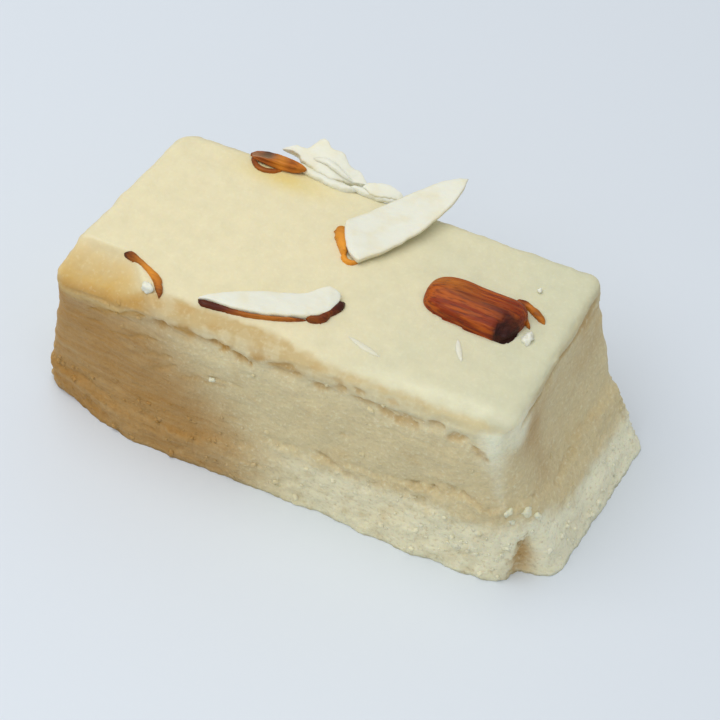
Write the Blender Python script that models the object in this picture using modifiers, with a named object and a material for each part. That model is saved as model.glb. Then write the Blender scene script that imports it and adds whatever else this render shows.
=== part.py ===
"""One long bar of barfi, a milk sweet, with pieces of almond on its top.

For Blender 4.5: metres, +Z up. The origin is the middle of the flat underside. +X runs along the
bar to its flared end, and +Y runs across it to its far side.
"""

import math
from typing import NamedTuple

import bmesh
import bpy
from mathutils import Matrix, Vector, noise

MM = 0.001
UP = Vector((0.0, 0.0, 1.0))

# The bar
BAR_HEIGHT = 34.0 * MM
HALF_LENGTH = 33.2 * MM  # of the top
HALF_WIDTH = 16.3 * MM
TOP_EDGE_DROP = 1.9 * MM  # height of the round along the top edges
CORNER_RADIUS = 2.6 * MM
NEAR_CORNER_TOP = 4.6 * MM  # the rounder corner between the near side and the flared end
NEAR_CORNER_BASE = 9.0 * MM
SEGMENTS = (42, 20, 20)  # along, across and up
EDGE_CROWDING = 0.3  # how much closer the rows stand towards the edges

# Where the ends and sides stand, at the top and at the base
LEFT_END = -37.8 * MM
LEFT_SLANT = 3.8 * MM
LEFT_FLARE = 1.6 * MM
RIGHT_END = 28.8 * MM
RIGHT_SLANT = 1.8 * MM
RIGHT_FLARE = 10.2 * MM
RIGHT_FLARE_SLANT = 0.9 * MM
FLARE_POWER = 1.45
NEAR_TOP = -16.1 * MM
NEAR_TOP_CUT = 1.5 * MM  # how far its left part lies inwards
NEAR_BASE = -15.1 * MM
NEAR_BASE_SLANT = -1.5 * MM
UNDERCUT = 3.8 * MM  # of the left part of the base
FAR_TOP = 16.5 * MM
FAR_BASE = 17.0 * MM

# The worn corner at the left of the near side
WORN_STEP = 0.4 * MM
WORN_DEPTH = 3.1 * MM
WORN_START = -24.5 * MM
WORN_FULL = -33.0 * MM
WORN_LINE_START = -15.6 * MM
WORN_LINE_FULL = -8.0 * MM
WORN_WIDTH = 6.8 * MM
WORN_ROUGHNESS = 0.12
WORN_GRAIN = 3.0 * MM

# The firm crust under the top edge, and the cracks below it
CRUST = 2.9 * MM
CRUST_SWING = 0.3
CRUST_SWING_SIZE = 9.0 * MM
CRUST_STEP = 0.35 * MM
CREVICE_DEPTH = 0.9 * MM
CREVICE_REACH = 0.75 * MM
CREVICE_FADE = 1.0 * MM
CREVICE_SIZE = 7.0 * MM
NEAR_CREVICES = ((-25.0, -10.5), (-7.0, -4.4), (-1.2, 1.4), (7.4, 14.8), (16.2, 17.4), (19.6, 21.2))

# The crumbly band along the base
BAND_HEIGHT = 12.6 * MM
BAND_SWING = 2.2 * MM
BAND_SWING_SIZE = 11.0 * MM
BAND_FADE = 1.2 * MM
BAND_PROUD = 0.55 * MM
LEDGE_RISE = 0.9 * MM
LEDGE_REACH = 1.0 * MM
LEDGE_DEPTH = 0.7 * MM
LEDGE_SIZE = 12.0 * MM
LUMP_SIZE = 3.6 * MM
LUMP_DEPTH = 1.0 * MM

# Slower relief of the sides, the end and the top
SIDE_WAVE = 0.55 * MM
SIDE_WAVE_SIZE = 15.0 * MM
SIDE_RIPPLE = 0.3 * MM
SIDE_RIPPLE_SIZE = 4.5 * MM
SIDE_CALM = 6.0 * MM  # below the top edge, where the sides start to wave
END_HOLLOW = 1.1 * MM
END_HOLLOW_HEIGHT = 19.0 * MM
END_HOLLOW_REACH = (11.0 * MM, 8.0 * MM)
TOP_WAVE = 0.22 * MM
TOP_WAVE_SIZE = 13.0 * MM

# The crack at the foot of the near corner
CRACK_PLACE = Vector((34.6 * MM, -12.4 * MM))
CRACK_DEPTH = 2.4 * MM
CRACK_HALF_WIDTH = 1.5 * MM
CRACK_HEIGHT = 10.0 * MM

# One number for each kind of relief, so that no two share their waves
WAVE_SEED, RIPPLE_SEED, CRUST_SEED, LUMP_SEED, BAND_SEED, LEDGE_SEED = 1.0, 2.0, 3.0, 4.0, 5.0, 6.0
TOP_SEED, CREVICE_SEED, WORN_SEED, NUT_SIDE_SEED, NUT_TOP_SEED, CRUMB_SEED = 7.0, 8.0, 9.0, 11.0, 12.0, 21.0

# The almond pieces, which are solids of their own
CLEARANCE = 0.35 * MM  # under what lies on the top
ALMOND_FIT = 0.32 * MM  # round the piece that is pressed into the top
SLICE_THICKNESS = 1.1 * MM
NUT_RIDGE = 0.12 * MM
NUT_SIDE_WAVE = 0.3 * MM
NUT_TOP_WAVE = 0.25 * MM
NUT_WAVE_SIZE = 5.5 * MM

# The small bits that are part of the bar: their paths and places, in millimetres
SUNK = 0.75 * MM  # how deep they reach into it
STRIP_END_WIDTH = 0.45
SKIN_CURL = ((-32.9, -7.8), (-31.2, -8.8), (-29.5, -9.9), (-27.8, -11.0), (-26.4, -12.6), (-25.5, -14.0))
SKIN_PEEL = ((22.4, 7.4), (23.6, 7.1), (24.6, 6.3), (25.4, 5.1))
SLIVERS = (
    ((15.0, -3.2), (15.8, -4.9), (16.8, -6.7)),
    ((1.0, -9.3), (3.6, -10.1), (6.2, -10.8)),
)
CRUMBS = ((24.5, 1.2, 0.75), (22.7, 9.6, 0.9), (-27.4, -13.2, 0.9))  # place along and across, radius
CRUMB_LUMPS = 0.25


class Nut(NamedTuple):
    """A broken piece of almond with its skin on; places and sizes are in millimetres."""

    place: tuple
    half_length: float
    half_width: float
    rise: float
    sink: float
    turn: float  # degrees, seen from above
    blunt: tuple  # how round its left and right ends are: 1 is round and 0 is cut straight
    narrowing: float  # how much wider its right end is
    ridges: int
    rings: tuple  # segments around it and along it


class Slice(NamedTuple):
    """A thin slice of almond that lies on the top; places and sizes are in millimetres.

    Its two edges are given beside the line from start to end, and so is how far each of them
    rises off the bar, by values that are spaced evenly along the line.
    """

    name: str
    start: tuple
    end: tuple
    low_edge: tuple
    high_edge: tuple
    low_rise: tuple
    high_rise: tuple
    slant: float  # how much further on the high edge starts than the low one
    segments: tuple


ALMOND = Nut((15.6, 2.4), 7.2, 3.7, 3.4, 1.2, -3.0, (0.55, 0.4), 0.09, 7, (24, 16))
CHIP = Nut((-19.7, 15.1), 4.3, 1.2, 1.5, 0.4, 4.0, (0.9, 0.7), 0.09, 5, (14, 9))
SLICES = (
    Slice("half_moon_slice", (-20.4, -12.2), (-1.9, -4.7),
          (-0.3, -2.15, -2.75, -2.95, -2.75, -2.15, -0.3), (0.25, 0.75, 1.0, 1.3, 1.55, 2.0, 0.3),
          (0.0, 0.1, 0.15, 0.2, 0.2, 0.1, 0.0), (0.0, 0.2, 0.3, 0.3, 0.3, 0.2, 0.1), 0.0, (16, 3)),
    Slice("pointed_slice", (-5.6, 5.2), (7.3, 21.5),
          (-3.65, -4.25, -4.3, -3.95, -3.2, -2.05, -0.15), (3.65, 2.95, 2.6, 2.35, 2.0, 1.45, 0.15),
          (0.3, 0.45, 0.75, 1.2, 1.75, 2.4, 3.0), (0.0, 0.15, 0.5, 0.95, 1.5, 2.2, 3.0), 3.4, (16, 4)),
    Slice("back_slice_long", (-19.6, 17.9), (-6.4, 16.9),
          (-0.3, -0.3, -0.5, -2.1, -2.6, -2.1, -0.6), (0.3, 0.9, 2.0, 2.75, 2.45, 1.5, 0.4),
          (0.2, 0.2, 0.1, 0.0, 0.0, 0.0, 0.0), (0.3, 1.2, 2.7, 2.8, 1.5, 0.6, 0.2), 0.0, (14, 3)),
    Slice("back_slice_short", (-5.0, 16.2), (-0.8, 17.1),
          (-0.4, -0.9, -1.0, -0.8, -0.3), (0.3, 0.8, 0.9, 0.6, 0.2),
          (0.0, 0.0, 0.0, 0.0, 0.0), (0.2, 0.4, 0.5, 0.4, 0.2), 0.0, (6, 2)),
)


def mix(low, high, share):
    """Return the value that lies a share of the way from low to high."""
    return low + (high - low) * share


def ramp(start, end, value):
    """Return 0 at start, 1 at end and a smooth step between them."""
    share = min(1.0, max(0.0, (value - start) / (end - start)))
    return share * share * (3.0 - 2.0 * share)


def hump(value, centre, reach):
    """Return 1 at centre, falling smoothly to nothing about twice the reach away."""
    return math.exp(-(((value - centre) / reach) ** 2))


def curve_value(values, share):
    """Return the value at a share of the way along evenly spaced values, on a smooth curve."""
    place = min(1.0, max(0.0, share)) * (len(values) - 1)
    first = min(int(place), len(values) - 2)
    part = place - first
    here, there = values[first], values[first + 1]
    before = values[first - 1] if first > 0 else 2.0 * here - there
    after = values[first + 2] if first + 2 < len(values) else 2.0 * there - here
    slope_here, slope_there = 0.5 * (there - before), 0.5 * (after - here)
    squared, cubed = part * part, part * part * part
    return (here * (2.0 * cubed - 3.0 * squared + 1.0) + there * (3.0 * squared - 2.0 * cubed)
            + slope_here * (cubed - 2.0 * squared + part) + slope_there * (cubed - squared))


def rough(point, size, seed):
    """Return smooth noise from about -1 to 1 whose waves are about one size long."""
    return noise.noise(point / size + Vector((seed, seed * 1.7, seed * 0.6)))


def grains(point, size, seed):
    """Return rounded lumps, from about -0.5 between them to 0.5 on top of them."""
    distances, _ = noise.voronoi(point / size + Vector((seed, seed * 0.3, seed * 1.9)))
    return 0.5 - 1.15 * distances[0]


def crevice_share(point, facing, depth):
    """Return how far a point, at a depth below the top, lies in a crack under the crust."""
    level = CRUST * (1.0 + CRUST_SWING * rough(point, CRUST_SWING_SIZE, CRUST_SEED))
    on_near_side = facing.y < -0.7
    if on_near_side:
        reached = max(
            ramp(start * MM - CREVICE_FADE, start * MM, point.x)
            * ramp(end * MM + CREVICE_FADE, end * MM, point.x)
            for start, end in NEAR_CREVICES)
    else:
        reached = ramp(0.0, 0.35, rough(point, CREVICE_SIZE, CREVICE_SEED))
    return hump(depth, level, CREVICE_REACH) * reached


def band_relief(point):
    """Return how far the crumbly band along the base, and the ledge over it, stand out."""
    foot = Vector((point.x, point.y, 0.0))
    band_top = BAND_HEIGHT + BAND_SWING * rough(foot, BAND_SWING_SIZE, BAND_SEED)
    in_band = ramp(band_top + BAND_FADE, band_top - BAND_FADE, point.z)
    cracked = ramp(-0.1, 0.3, rough(point, LEDGE_SIZE, LEDGE_SEED))
    ledge = hump(point.z, band_top + LEDGE_RISE, LEDGE_REACH) * cracked
    lumps = LUMP_DEPTH * grains(point, LUMP_SIZE, LUMP_SEED)
    return in_band * (BAND_PROUD + lumps) - LEDGE_DEPTH * ledge


def side_relief(point, facing):
    """Return how far a side or an end stands out at a point."""
    depth = BAR_HEIGHT - point.z
    waves = SIDE_WAVE * rough(point, SIDE_WAVE_SIZE, WAVE_SEED)
    waves += SIDE_RIPPLE * rough(point, SIDE_RIPPLE_SIZE, RIPPLE_SEED)
    stands = waves * ramp(0.0, SIDE_CALM, depth) + band_relief(point)
    stands -= CRUST_STEP * ramp(0.7 * CRUST, 1.3 * CRUST, depth)
    stands -= CREVICE_DEPTH * crevice_share(point, facing, depth)
    hollow = hump(point.y, 0.0, END_HOLLOW_REACH[0]) * hump(point.z, END_HOLLOW_HEIGHT, END_HOLLOW_REACH[1])
    stands -= END_HOLLOW * hollow * max(0.0, facing.x)
    from_crack = (point.xy - CRACK_PLACE).length
    crack_fade = ramp(CRACK_HEIGHT, 0.6 * CRACK_HEIGHT, point.z)
    return stands - CRACK_DEPTH * hump(from_crack, 0.0, CRACK_HALF_WIDTH) * crack_fade


def worn_drop(place):
    """Return how far the worn corner's top lies below the rest."""
    line = mix(WORN_LINE_START, WORN_LINE_FULL, ramp(WORN_START, WORN_FULL, place.x))
    inside = min(1.0, max(0.0, (line - place.y) / WORN_WIDTH))
    return WORN_STEP * ramp(0.0, 0.15, inside) + WORN_DEPTH * inside


def top_height(place):
    """Return the height of the top's surface at a place on it."""
    level = Vector((place.x, place.y, BAR_HEIGHT))
    wave = TOP_WAVE * rough(level, TOP_WAVE_SIZE, TOP_SEED)
    drop = worn_drop(place)
    return BAR_HEIGHT + wave - drop * (1.0 - WORN_ROUGHNESS * rough(level, WORN_GRAIN, WORN_SEED))


def round_box(along, across, up):
    """Round the top and upright edges of a box; along and across run from -1 to 1, up from 0 to 1.

    Returns the shares again, now of the rounded form, and the direction that its surface faces.
    """
    near_corner = ramp(0.2, 0.9, along) * ramp(0.2, 0.9, -across)
    plan_radius = mix(CORNER_RADIUS, mix(NEAR_CORNER_BASE, NEAR_CORNER_TOP, up), near_corner)
    point = Vector((along * HALF_LENGTH, across * HALF_WIDTH, up * BAR_HEIGHT))
    limit = Vector((HALF_LENGTH - plan_radius, HALF_WIDTH - plan_radius, BAR_HEIGHT - TOP_EDGE_DROP))
    lowest = Vector((-limit.x, -limit.y, 0.0))
    core = Vector([min(most, max(least, part)) for part, least, most in zip(point, lowest, limit)])
    radii = Vector((plan_radius, plan_radius, TOP_EDGE_DROP))
    arm = Vector([offset / radius for offset, radius in zip(point - core, radii)])
    if arm.length == 0.0:
        return along, across, up, -UP
    arm *= max(abs(part) for part in arm) / arm.length
    rounded = core + Vector([part * radius for part, radius in zip(arm, radii)])
    facing = Vector([part / radius for part, radius in zip(arm, radii)]).normalized()
    return rounded.x / HALF_LENGTH, rounded.y / HALF_WIDTH, rounded.z / BAR_HEIGHT, facing


def bar_point(along, across, up):
    """Return the place on the bar of a point on the surface of a box."""
    along, across, up, facing = round_box(along, across, up)
    spread = max(0.0, 1.0 - up) ** FLARE_POWER
    left = LEFT_END + LEFT_SLANT * across - LEFT_FLARE * spread
    right = RIGHT_END + RIGHT_SLANT * across + (RIGHT_FLARE + RIGHT_FLARE_SLANT * across) * spread
    near_base = NEAR_BASE + NEAR_BASE_SLANT * along + UNDERCUT * ramp(-0.6, -1.05, along)
    near_top = NEAR_TOP + NEAR_TOP_CUT * ramp(-0.4, -0.8, along)
    point = Vector((
        mix(left, right, 0.5 * (along + 1.0)),
        mix(mix(near_base, near_top, up), mix(FAR_BASE, FAR_TOP, up), 0.5 * (across + 1.0)),
        up * BAR_HEIGHT,
    ))
    on_side = 1.0 - ramp(0.55, 0.95, facing.z)
    point += Vector((facing.x, facing.y, 0.0)) * side_relief(point, facing) * on_side
    upper = ramp(0.55 * BAR_HEIGHT, BAR_HEIGHT, point.z)
    point.z += (top_height(point) - BAR_HEIGHT) * upper
    return point


def crowd(share):
    """Move evenly spaced shares from -1 to 1 closer together towards both ends."""
    return share + EDGE_CROWDING * math.sin(math.pi * share) / math.pi


def place_of(pair):
    """Return a place on the top, in metres, from a pair of millimetres."""
    return Vector((pair[0] * MM, pair[1] * MM))


def finish_object(name, shape, material, home):
    """Make an object of a bmesh, with a material and smooth shading, in a collection."""
    bmesh.ops.recalc_face_normals(shape, faces=shape.faces)
    mesh = bpy.data.meshes.new(name)
    shape.to_mesh(mesh)
    shape.free()
    mesh.materials.append(material)
    mesh.shade_smooth()
    mesh.set_sharp_from_angle(angle=math.radians(50.0))
    made = bpy.data.objects.new(name, mesh)
    home.objects.link(made)
    return made


def thicken(made, thickness):
    """Give a sheet its thickness, upwards."""
    if made.data.polygons[0].normal.z < 0.0:
        made.data.flip_normals()
    solid = made.modifiers.new("thickness", "SOLIDIFY")
    solid.thickness = thickness
    solid.offset = 1.0
    solid.use_even_offset = True


def make_bar(name, material, home):
    """Make the bar from a box cut into rows, each point moved to its place on the bar."""
    shape = bmesh.new()
    bmesh.ops.create_cube(shape, size=2.0)
    for axis, segments in enumerate(SEGMENTS):
        running = [edge for edge in shape.edges
                   if abs(edge.verts[0].co[axis] - edge.verts[1].co[axis]) > 1.0]
        bmesh.ops.subdivide_edges(shape, edges=running, cuts=segments - 1, use_grid_fill=True)
    for vert in shape.verts:
        up = 0.5 * (vert.co.z + 1.0)
        up += EDGE_CROWDING * math.sin(math.pi * up) / math.pi
        vert.co = bar_point(crowd(vert.co.x), crowd(vert.co.y), up)
    shape.normal_update()
    underside = [face for face in shape.faces if max(vert.co.z for vert in face.verts) < 0.01 * MM]
    bmesh.ops.dissolve_faces(shape, faces=underside, use_verts=True)
    return finish_object(name, shape, material, home)


def make_strip(name, path, width, height, material, home):
    """Make a narrow strip, such as a shred of skin, that lies along a path on the top."""
    shape = bmesh.new()
    bmesh.ops.create_grid(shape, x_segments=2 * (len(path) - 1), y_segments=2, size=1.0)
    places = [place_of(pair) for pair in path]
    for vert in shape.verts:
        share = 0.5 * (vert.co.x + 1.0) * (len(places) - 1)
        first = min(int(share), len(places) - 2)
        line = (places[first + 1] - places[first]).normalized()
        half_width = 0.5 * width * mix(1.0, STRIP_END_WIDTH, abs(vert.co.x) ** 3)
        place = places[first].lerp(places[first + 1], share - first)
        place += Vector((-line.y, line.x)) * vert.co.y * half_width
        vert.co = Vector((place.x, place.y, top_height(place) - SUNK))
    made = finish_object(name, shape, material, home)
    thicken(made, height + SUNK)
    return made


def make_crumb(name, place, radius, material, home):
    """Make a small white crumb, half sunk in the top at a place."""
    shape = bmesh.new()
    bmesh.ops.create_icosphere(shape, subdivisions=1, radius=radius)
    for vert in shape.verts:
        vert.co *= 1.0 + CRUMB_LUMPS * rough(vert.co, 0.35 * radius, CRUMB_SEED)
    middle = Vector((place.x, place.y, top_height(place) + 0.25 * radius))
    bmesh.ops.translate(shape, vec=middle, verts=shape.verts)
    return finish_object(name, shape, material, home)


def make_slice(form, material, home):
    """Make a slice of almond from a grid whose points are moved to their places on the top."""
    shape = bmesh.new()
    bmesh.ops.create_grid(shape, x_segments=form.segments[0], y_segments=form.segments[1], size=1.0)
    start, end = place_of(form.start), place_of(form.end)
    line = (end - start).normalized()
    side = Vector((-line.y, line.x))
    for vert in shape.verts:
        share, over = 0.5 * (vert.co.x + 1.0), 0.5 * (vert.co.y + 1.0)
        beside = mix(curve_value(form.low_edge, share), curve_value(form.high_edge, share), over) * MM
        rise = mix(curve_value(form.low_rise, share), curve_value(form.high_rise, share), over) * MM
        shift = form.slant * MM * (over - 0.5) * (1.0 - share) ** 2
        place = start.lerp(end, share) + side * beside + line * shift
        level = top_height(Vector((place.x, min(place.y, HALF_WIDTH))))
        vert.co = Vector((place.x, place.y, level + CLEARANCE + rise))
    made = finish_object(form.name, shape, material, home)
    thicken(made, SLICE_THICKNESS)
    return made


def make_nut(name, form, height, grow, material, home):
    """Make a broken piece of almond whose widest level is at a height, with lengthwise ridges.

    grow makes it larger all round, for the bed that it lies in.
    """
    shape = bmesh.new()
    bmesh.ops.create_uvsphere(shape, u_segments=form.rings[0], v_segments=form.rings[1], radius=1.0)
    for vert in shape.verts:
        angle = math.atan2(vert.co.y, vert.co.x)
        around = math.hypot(vert.co.x, vert.co.y)
        power = form.blunt[0] if vert.co.z < 0.0 else form.blunt[1]
        reach = math.copysign(abs(vert.co.z) ** power, vert.co.z)
        girth = around ** power * (1.0 + form.narrowing * reach)
        ridge = NUT_RIDGE * math.cos(form.ridges * angle + 0.8) * around
        upper = max(0.0, math.sin(angle))
        depth = form.rise if upper > 0.0 else form.sink
        x = reach * (form.half_length * MM + grow)
        y = math.cos(angle) * (girth * (form.half_width * MM + grow) + ridge)
        z = math.sin(angle) * (girth * (depth * MM + grow) + ridge)
        spot = Vector((x, y, 0.0))
        y += NUT_SIDE_WAVE * rough(spot, NUT_WAVE_SIZE, NUT_SIDE_SEED)
        z += NUT_TOP_WAVE * rough(spot, NUT_WAVE_SIZE, NUT_TOP_SEED) * upper
        vert.co = Vector((x, y, z))
    bmesh.ops.remove_doubles(shape, verts=shape.verts, dist=0.01 * MM)
    place = place_of(form.place)
    turned = Matrix.Translation((place.x, place.y, height)) @ Matrix.Rotation(math.radians(form.turn), 4, "Z")
    bmesh.ops.transform(shape, matrix=turned, verts=shape.verts)
    return finish_object(name, shape, material, home)


def make_small_bits(skin, flesh, home):
    """Make the shreds of skin, the slivers and the crumbs that are part of the bar."""
    make_strip("skin_curl", SKIN_CURL, 1.2 * MM, 0.55 * MM, skin, home)
    make_strip("skin_peel", SKIN_PEEL, 1.0 * MM, 0.6 * MM, skin, home)
    for number, path in enumerate(SLIVERS):
        make_strip(f"sliver_{number}", path, 1.1 * MM, 0.3 * MM, flesh, home)
    for number, (x, y, radius) in enumerate(CRUMBS):
        make_crumb(f"crumb_{number}", place_of((x, y)), radius * MM, flesh, home)


def fuse(whole, bits):
    """Join every object of a collection to a solid, and remove those objects."""
    union = whole.modifiers.new("bits", "BOOLEAN")
    union.operation = "UNION"
    union.operand_type = "COLLECTION"
    union.collection = bits
    union.solver = "EXACT"
    bpy.context.view_layer.update()
    joined = whole.evaluated_get(bpy.context.evaluated_depsgraph_get())
    mesh = bpy.data.meshes.new_from_object(joined)
    whole.modifiers.clear()
    whole.data = mesh
    mesh.name = whole.name
    for bit in list(bits.objects):
        bpy.data.objects.remove(bit)
    bpy.data.collections.remove(bits)


def cut_bed(whole, bed):
    """Cut the hollow that a pressed-in piece lies in."""
    bed.hide_render = True
    bed.display_type = "WIRE"
    cut = whole.modifiers.new(bed.name, "BOOLEAN")
    cut.operation = "DIFFERENCE"
    cut.object = bed
    cut.solver = "EXACT"


def make_material(name, colour, roughness):
    """Make a plain surface of one colour."""
    material = bpy.data.materials.new(name)
    material.use_nodes = True
    surface = material.node_tree.nodes["Principled BSDF"]
    surface.inputs["Base Color"].default_value = (*colour, 1.0)
    surface.inputs["Roughness"].default_value = roughness
    surface.inputs["Metallic"].default_value = 0.0
    return material


def make_collection(name):
    """Make a collection in the scene."""
    made = bpy.data.collections.new(name)
    bpy.context.scene.collection.children.link(made)
    return made


def build():
    """Build the bar and everything on it."""
    for old in list(bpy.data.objects):
        bpy.data.objects.remove(old)
    home = make_collection("barfi")
    cutters = make_collection("cutters")
    bits = make_collection("bits")
    fudge = make_material("milk_fudge", (0.76, 0.68, 0.48), 0.55)
    skin = make_material("almond_skin", (0.30, 0.075, 0.015), 0.45)
    flesh = make_material("almond_flesh", (0.83, 0.80, 0.66), 0.5)

    bar = make_bar("barfi_bar", fudge, home)
    make_small_bits(skin, flesh, bits)
    fuse(bar, bits)

    almond_level = BAR_HEIGHT + 0.5 * TOP_WAVE
    make_nut("almond_piece", ALMOND, almond_level, 0.0, skin, home)
    cut_bed(bar, make_nut("almond_bed", ALMOND, almond_level, ALMOND_FIT, skin, cutters))
    chip_level = top_height(place_of(CHIP.place)) + CLEARANCE + CHIP.sink * MM
    make_nut("almond_chip", CHIP, chip_level, 0.0, skin, home)
    for form in SLICES:
        make_slice(form, flesh, home)


build()
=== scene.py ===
"""The finished look of one long bar of barfi, a milk sweet, with pieces of almond on its top.

For Blender 4.5: metres, +Z up. The origin is the middle of the flat underside, +X runs along the
bar to its flared end, and +Y runs across it to its far side. The bar is made again here with its
fine relief, and the almond pieces and small bits lie on it where the model's solids lie.
"""

import logging
import math
import random
from collections.abc import Sequence
from dataclasses import dataclass
from enum import Enum

import bmesh
import bpy
from mathutils import Matrix, Vector, noise


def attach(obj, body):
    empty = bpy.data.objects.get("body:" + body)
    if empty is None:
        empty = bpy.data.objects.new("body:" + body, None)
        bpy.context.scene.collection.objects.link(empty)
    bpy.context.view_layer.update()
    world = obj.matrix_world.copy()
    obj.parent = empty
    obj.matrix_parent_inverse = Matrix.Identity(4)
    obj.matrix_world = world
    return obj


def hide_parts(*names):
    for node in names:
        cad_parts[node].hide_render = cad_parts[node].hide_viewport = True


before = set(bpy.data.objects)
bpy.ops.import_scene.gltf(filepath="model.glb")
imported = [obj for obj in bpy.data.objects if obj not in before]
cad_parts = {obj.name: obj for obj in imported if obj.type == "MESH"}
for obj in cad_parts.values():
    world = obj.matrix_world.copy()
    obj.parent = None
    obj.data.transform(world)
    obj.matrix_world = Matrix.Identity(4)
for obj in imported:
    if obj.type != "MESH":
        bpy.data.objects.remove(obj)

LOG = logging.getLogger("barfi")
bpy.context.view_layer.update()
BODY = "root"
MM = 0.001
UP = Vector((0.0, 0.0, 1.0))
ON_FLOOR = 0.01 * MM
NUT_TIP_GAP = 0.01 * MM
THIN_TIP_GAP = 0.004 * MM

Pair = tuple[float, float]
Triple = tuple[float, float, float]


class Slot(Enum):
    """The finishes that the record names."""

    FUDGE = "milk_fudge"
    SKIN = "almond_skin"
    FLESH = "almond_flesh"


class Mask(Enum):
    """What is known about each point of a surface, from 0 to 1."""

    SIDE = "side"
    CRUMBLY = "crumbly"
    # The tears' and cracks' own orange-brown, with painted shade inside them.
    CAVITY_TONE_AND_SHADE = "cavity_tone_and_shade"
    WORN = "worn"
    # Partly the near side's own brown at its left, partly painted shadow that grows towards its foot.
    BROWN_AND_SHADOW = "brown_and_shadow"
    STAINED = "stained"
    # The crust's tan: partly its own, partly painted shade on the rolled-over near edge and painted shadow
    # under the top's edge elsewhere.
    CRUST_AND_SHADE = "crust"
    # Pale: painted highlight on the near right corner's ridge, along the top's near edge and on the fallen
    # corner, painted light at the feet of the right end and the near corner, and the pale of the pale crumbs.
    PALE_CRUMB_AND_HIGHLIGHT = "corner"
    # Near black on the skin: partly its own dark, partly painted shadow in the kernel's broken hollow.
    DARK_AND_SHADOW = "dark"
    BARE = "bare"
    # Amber: painted highlight where the kernel and the chip are lit, and the amber of the skin strips.
    AMBER_AND_HIGHLIGHT = "amber_and_highlight"


FUDGE_MASKS = (Mask.SIDE, Mask.CRUMBLY, Mask.CAVITY_TONE_AND_SHADE, Mask.WORN, Mask.BROWN_AND_SHADOW, Mask.STAINED, Mask.CRUST_AND_SHADE,
               Mask.PALE_CRUMB_AND_HIGHLIGHT)
SKIN_MASKS = (Mask.DARK_AND_SHADOW, Mask.BARE, Mask.AMBER_AND_HIGHLIGHT)


def mix(low: float, high: float, share: float) -> float:
    """Return the value that lies a share of the way from low to high."""
    return low + (high - low) * share


def ramp(start: float, end: float, value: float) -> float:
    """Return 0 at start, 1 at end and a smooth step between them."""
    share = min(1.0, max(0.0, (value - start) / (end - start)))
    return share * share * (3.0 - 2.0 * share)


def hump(value: float, centre: float, reach: float) -> float:
    """Return 1 at centre, falling smoothly to nothing about twice the reach away."""
    return math.exp(-(((value - centre) / reach) ** 2))


def signed_power(value: float, power: float) -> float:
    """Return a value from -1 to 1 raised to a power, with its own sign."""
    return math.copysign(abs(value) ** power, value)


def curve_value(values: Sequence[float], share: float) -> float:
    """Return the value at a share of the way along evenly spaced values, on a smooth curve.

    Args:
        values: The values that the curve goes through.
        share: How far along it is, from 0 to 1.

    Returns:
        The curve's value there.
    """
    place = min(1.0, max(0.0, share)) * (len(values) - 1)
    first = min(int(place), len(values) - 2)
    part = place - first
    here, there = values[first], values[first + 1]
    before = values[first - 1] if first > 0 else 2.0 * here - there
    after = values[first + 2] if first + 2 < len(values) else 2.0 * there - here
    slope_here, slope_there = 0.5 * (there - before), 0.5 * (after - here)
    squared, cubed = part * part, part * part * part
    return (here * (2.0 * cubed - 3.0 * squared + 1.0) + there * (3.0 * squared - 2.0 * cubed)
            + slope_here * (cubed - 2.0 * squared + part) + slope_there * (cubed - squared))


def shifted(point: Vector, size: float, seed: float) -> Vector:
    """Return where in the noise a point lies, for waves of that size."""
    return point / size + Vector((seed, seed * 1.7, seed * 0.6))


def rough(point: Vector, size: float, seed: float) -> float:
    """Return smooth noise from about -1 to 1 whose waves are about one size long."""
    return noise.noise(shifted(point, size, seed))


def crumbled(point: Vector, size: float, seed: float, layers: int = 4) -> float:
    """Return noise whose waves come in several sizes, the first of them the largest."""
    return noise.fractal(shifted(point, size, seed), 0.9, 2.1, layers)


def grains(point: Vector, size: float, seed: float) -> float:
    """Return rounded lumps, from about -0.5 between them to 0.5 on top of them."""
    distances, _ = noise.voronoi(point / size + Vector((seed, seed * 0.3, seed * 1.9)))
    return 0.5 - 1.15 * distances[0]


def place_of(pair: Pair) -> Vector:
    """Return a place on the top, in metres, from a pair of millimetres."""
    return Vector((pair[0] * MM, pair[1] * MM))


class Wire:
    """A socket of a material's nodes, so that shader maths reads like plain sums."""

    def __init__(self, nodes: "Nodes", socket: bpy.types.NodeSocket) -> None:
        """Wrap a socket."""
        self.nodes = nodes
        self.socket = socket

    def sum(self, operation: str, *operands: "Wire | float") -> "Wire":
        """Return the outcome of a Math node's operation on values."""
        return self.nodes.add("ShaderNodeMath", {"operation": operation}, dict(enumerate(operands)))

    def __add__(self, other: "Wire | float") -> "Wire":
        """Return self + other."""
        return self.sum("ADD", self, other)

    def __radd__(self, other: float) -> "Wire":
        """Return other + self."""
        return self.sum("ADD", other, self)

    def __sub__(self, other: "Wire | float") -> "Wire":
        """Return self - other."""
        return self.sum("SUBTRACT", self, other)

    def __rsub__(self, other: float) -> "Wire":
        """Return other - self."""
        return self.sum("SUBTRACT", other, self)

    def __mul__(self, other: "Wire | float") -> "Wire":
        """Return self * other."""
        return self.sum("MULTIPLY", self, other)

    def __rmul__(self, other: float) -> "Wire":
        """Return other * self."""
        return self.sum("MULTIPLY", other, self)

    def smooth(self, low: float, high: float) -> "Wire":
        """Return 0 below low, 1 above high and a smooth step between them."""
        ends = {"Value": self, "From Min": low, "From Max": high}
        return self.nodes.add("ShaderNodeMapRange", {"interpolation_type": "SMOOTHSTEP"}, ends)


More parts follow.
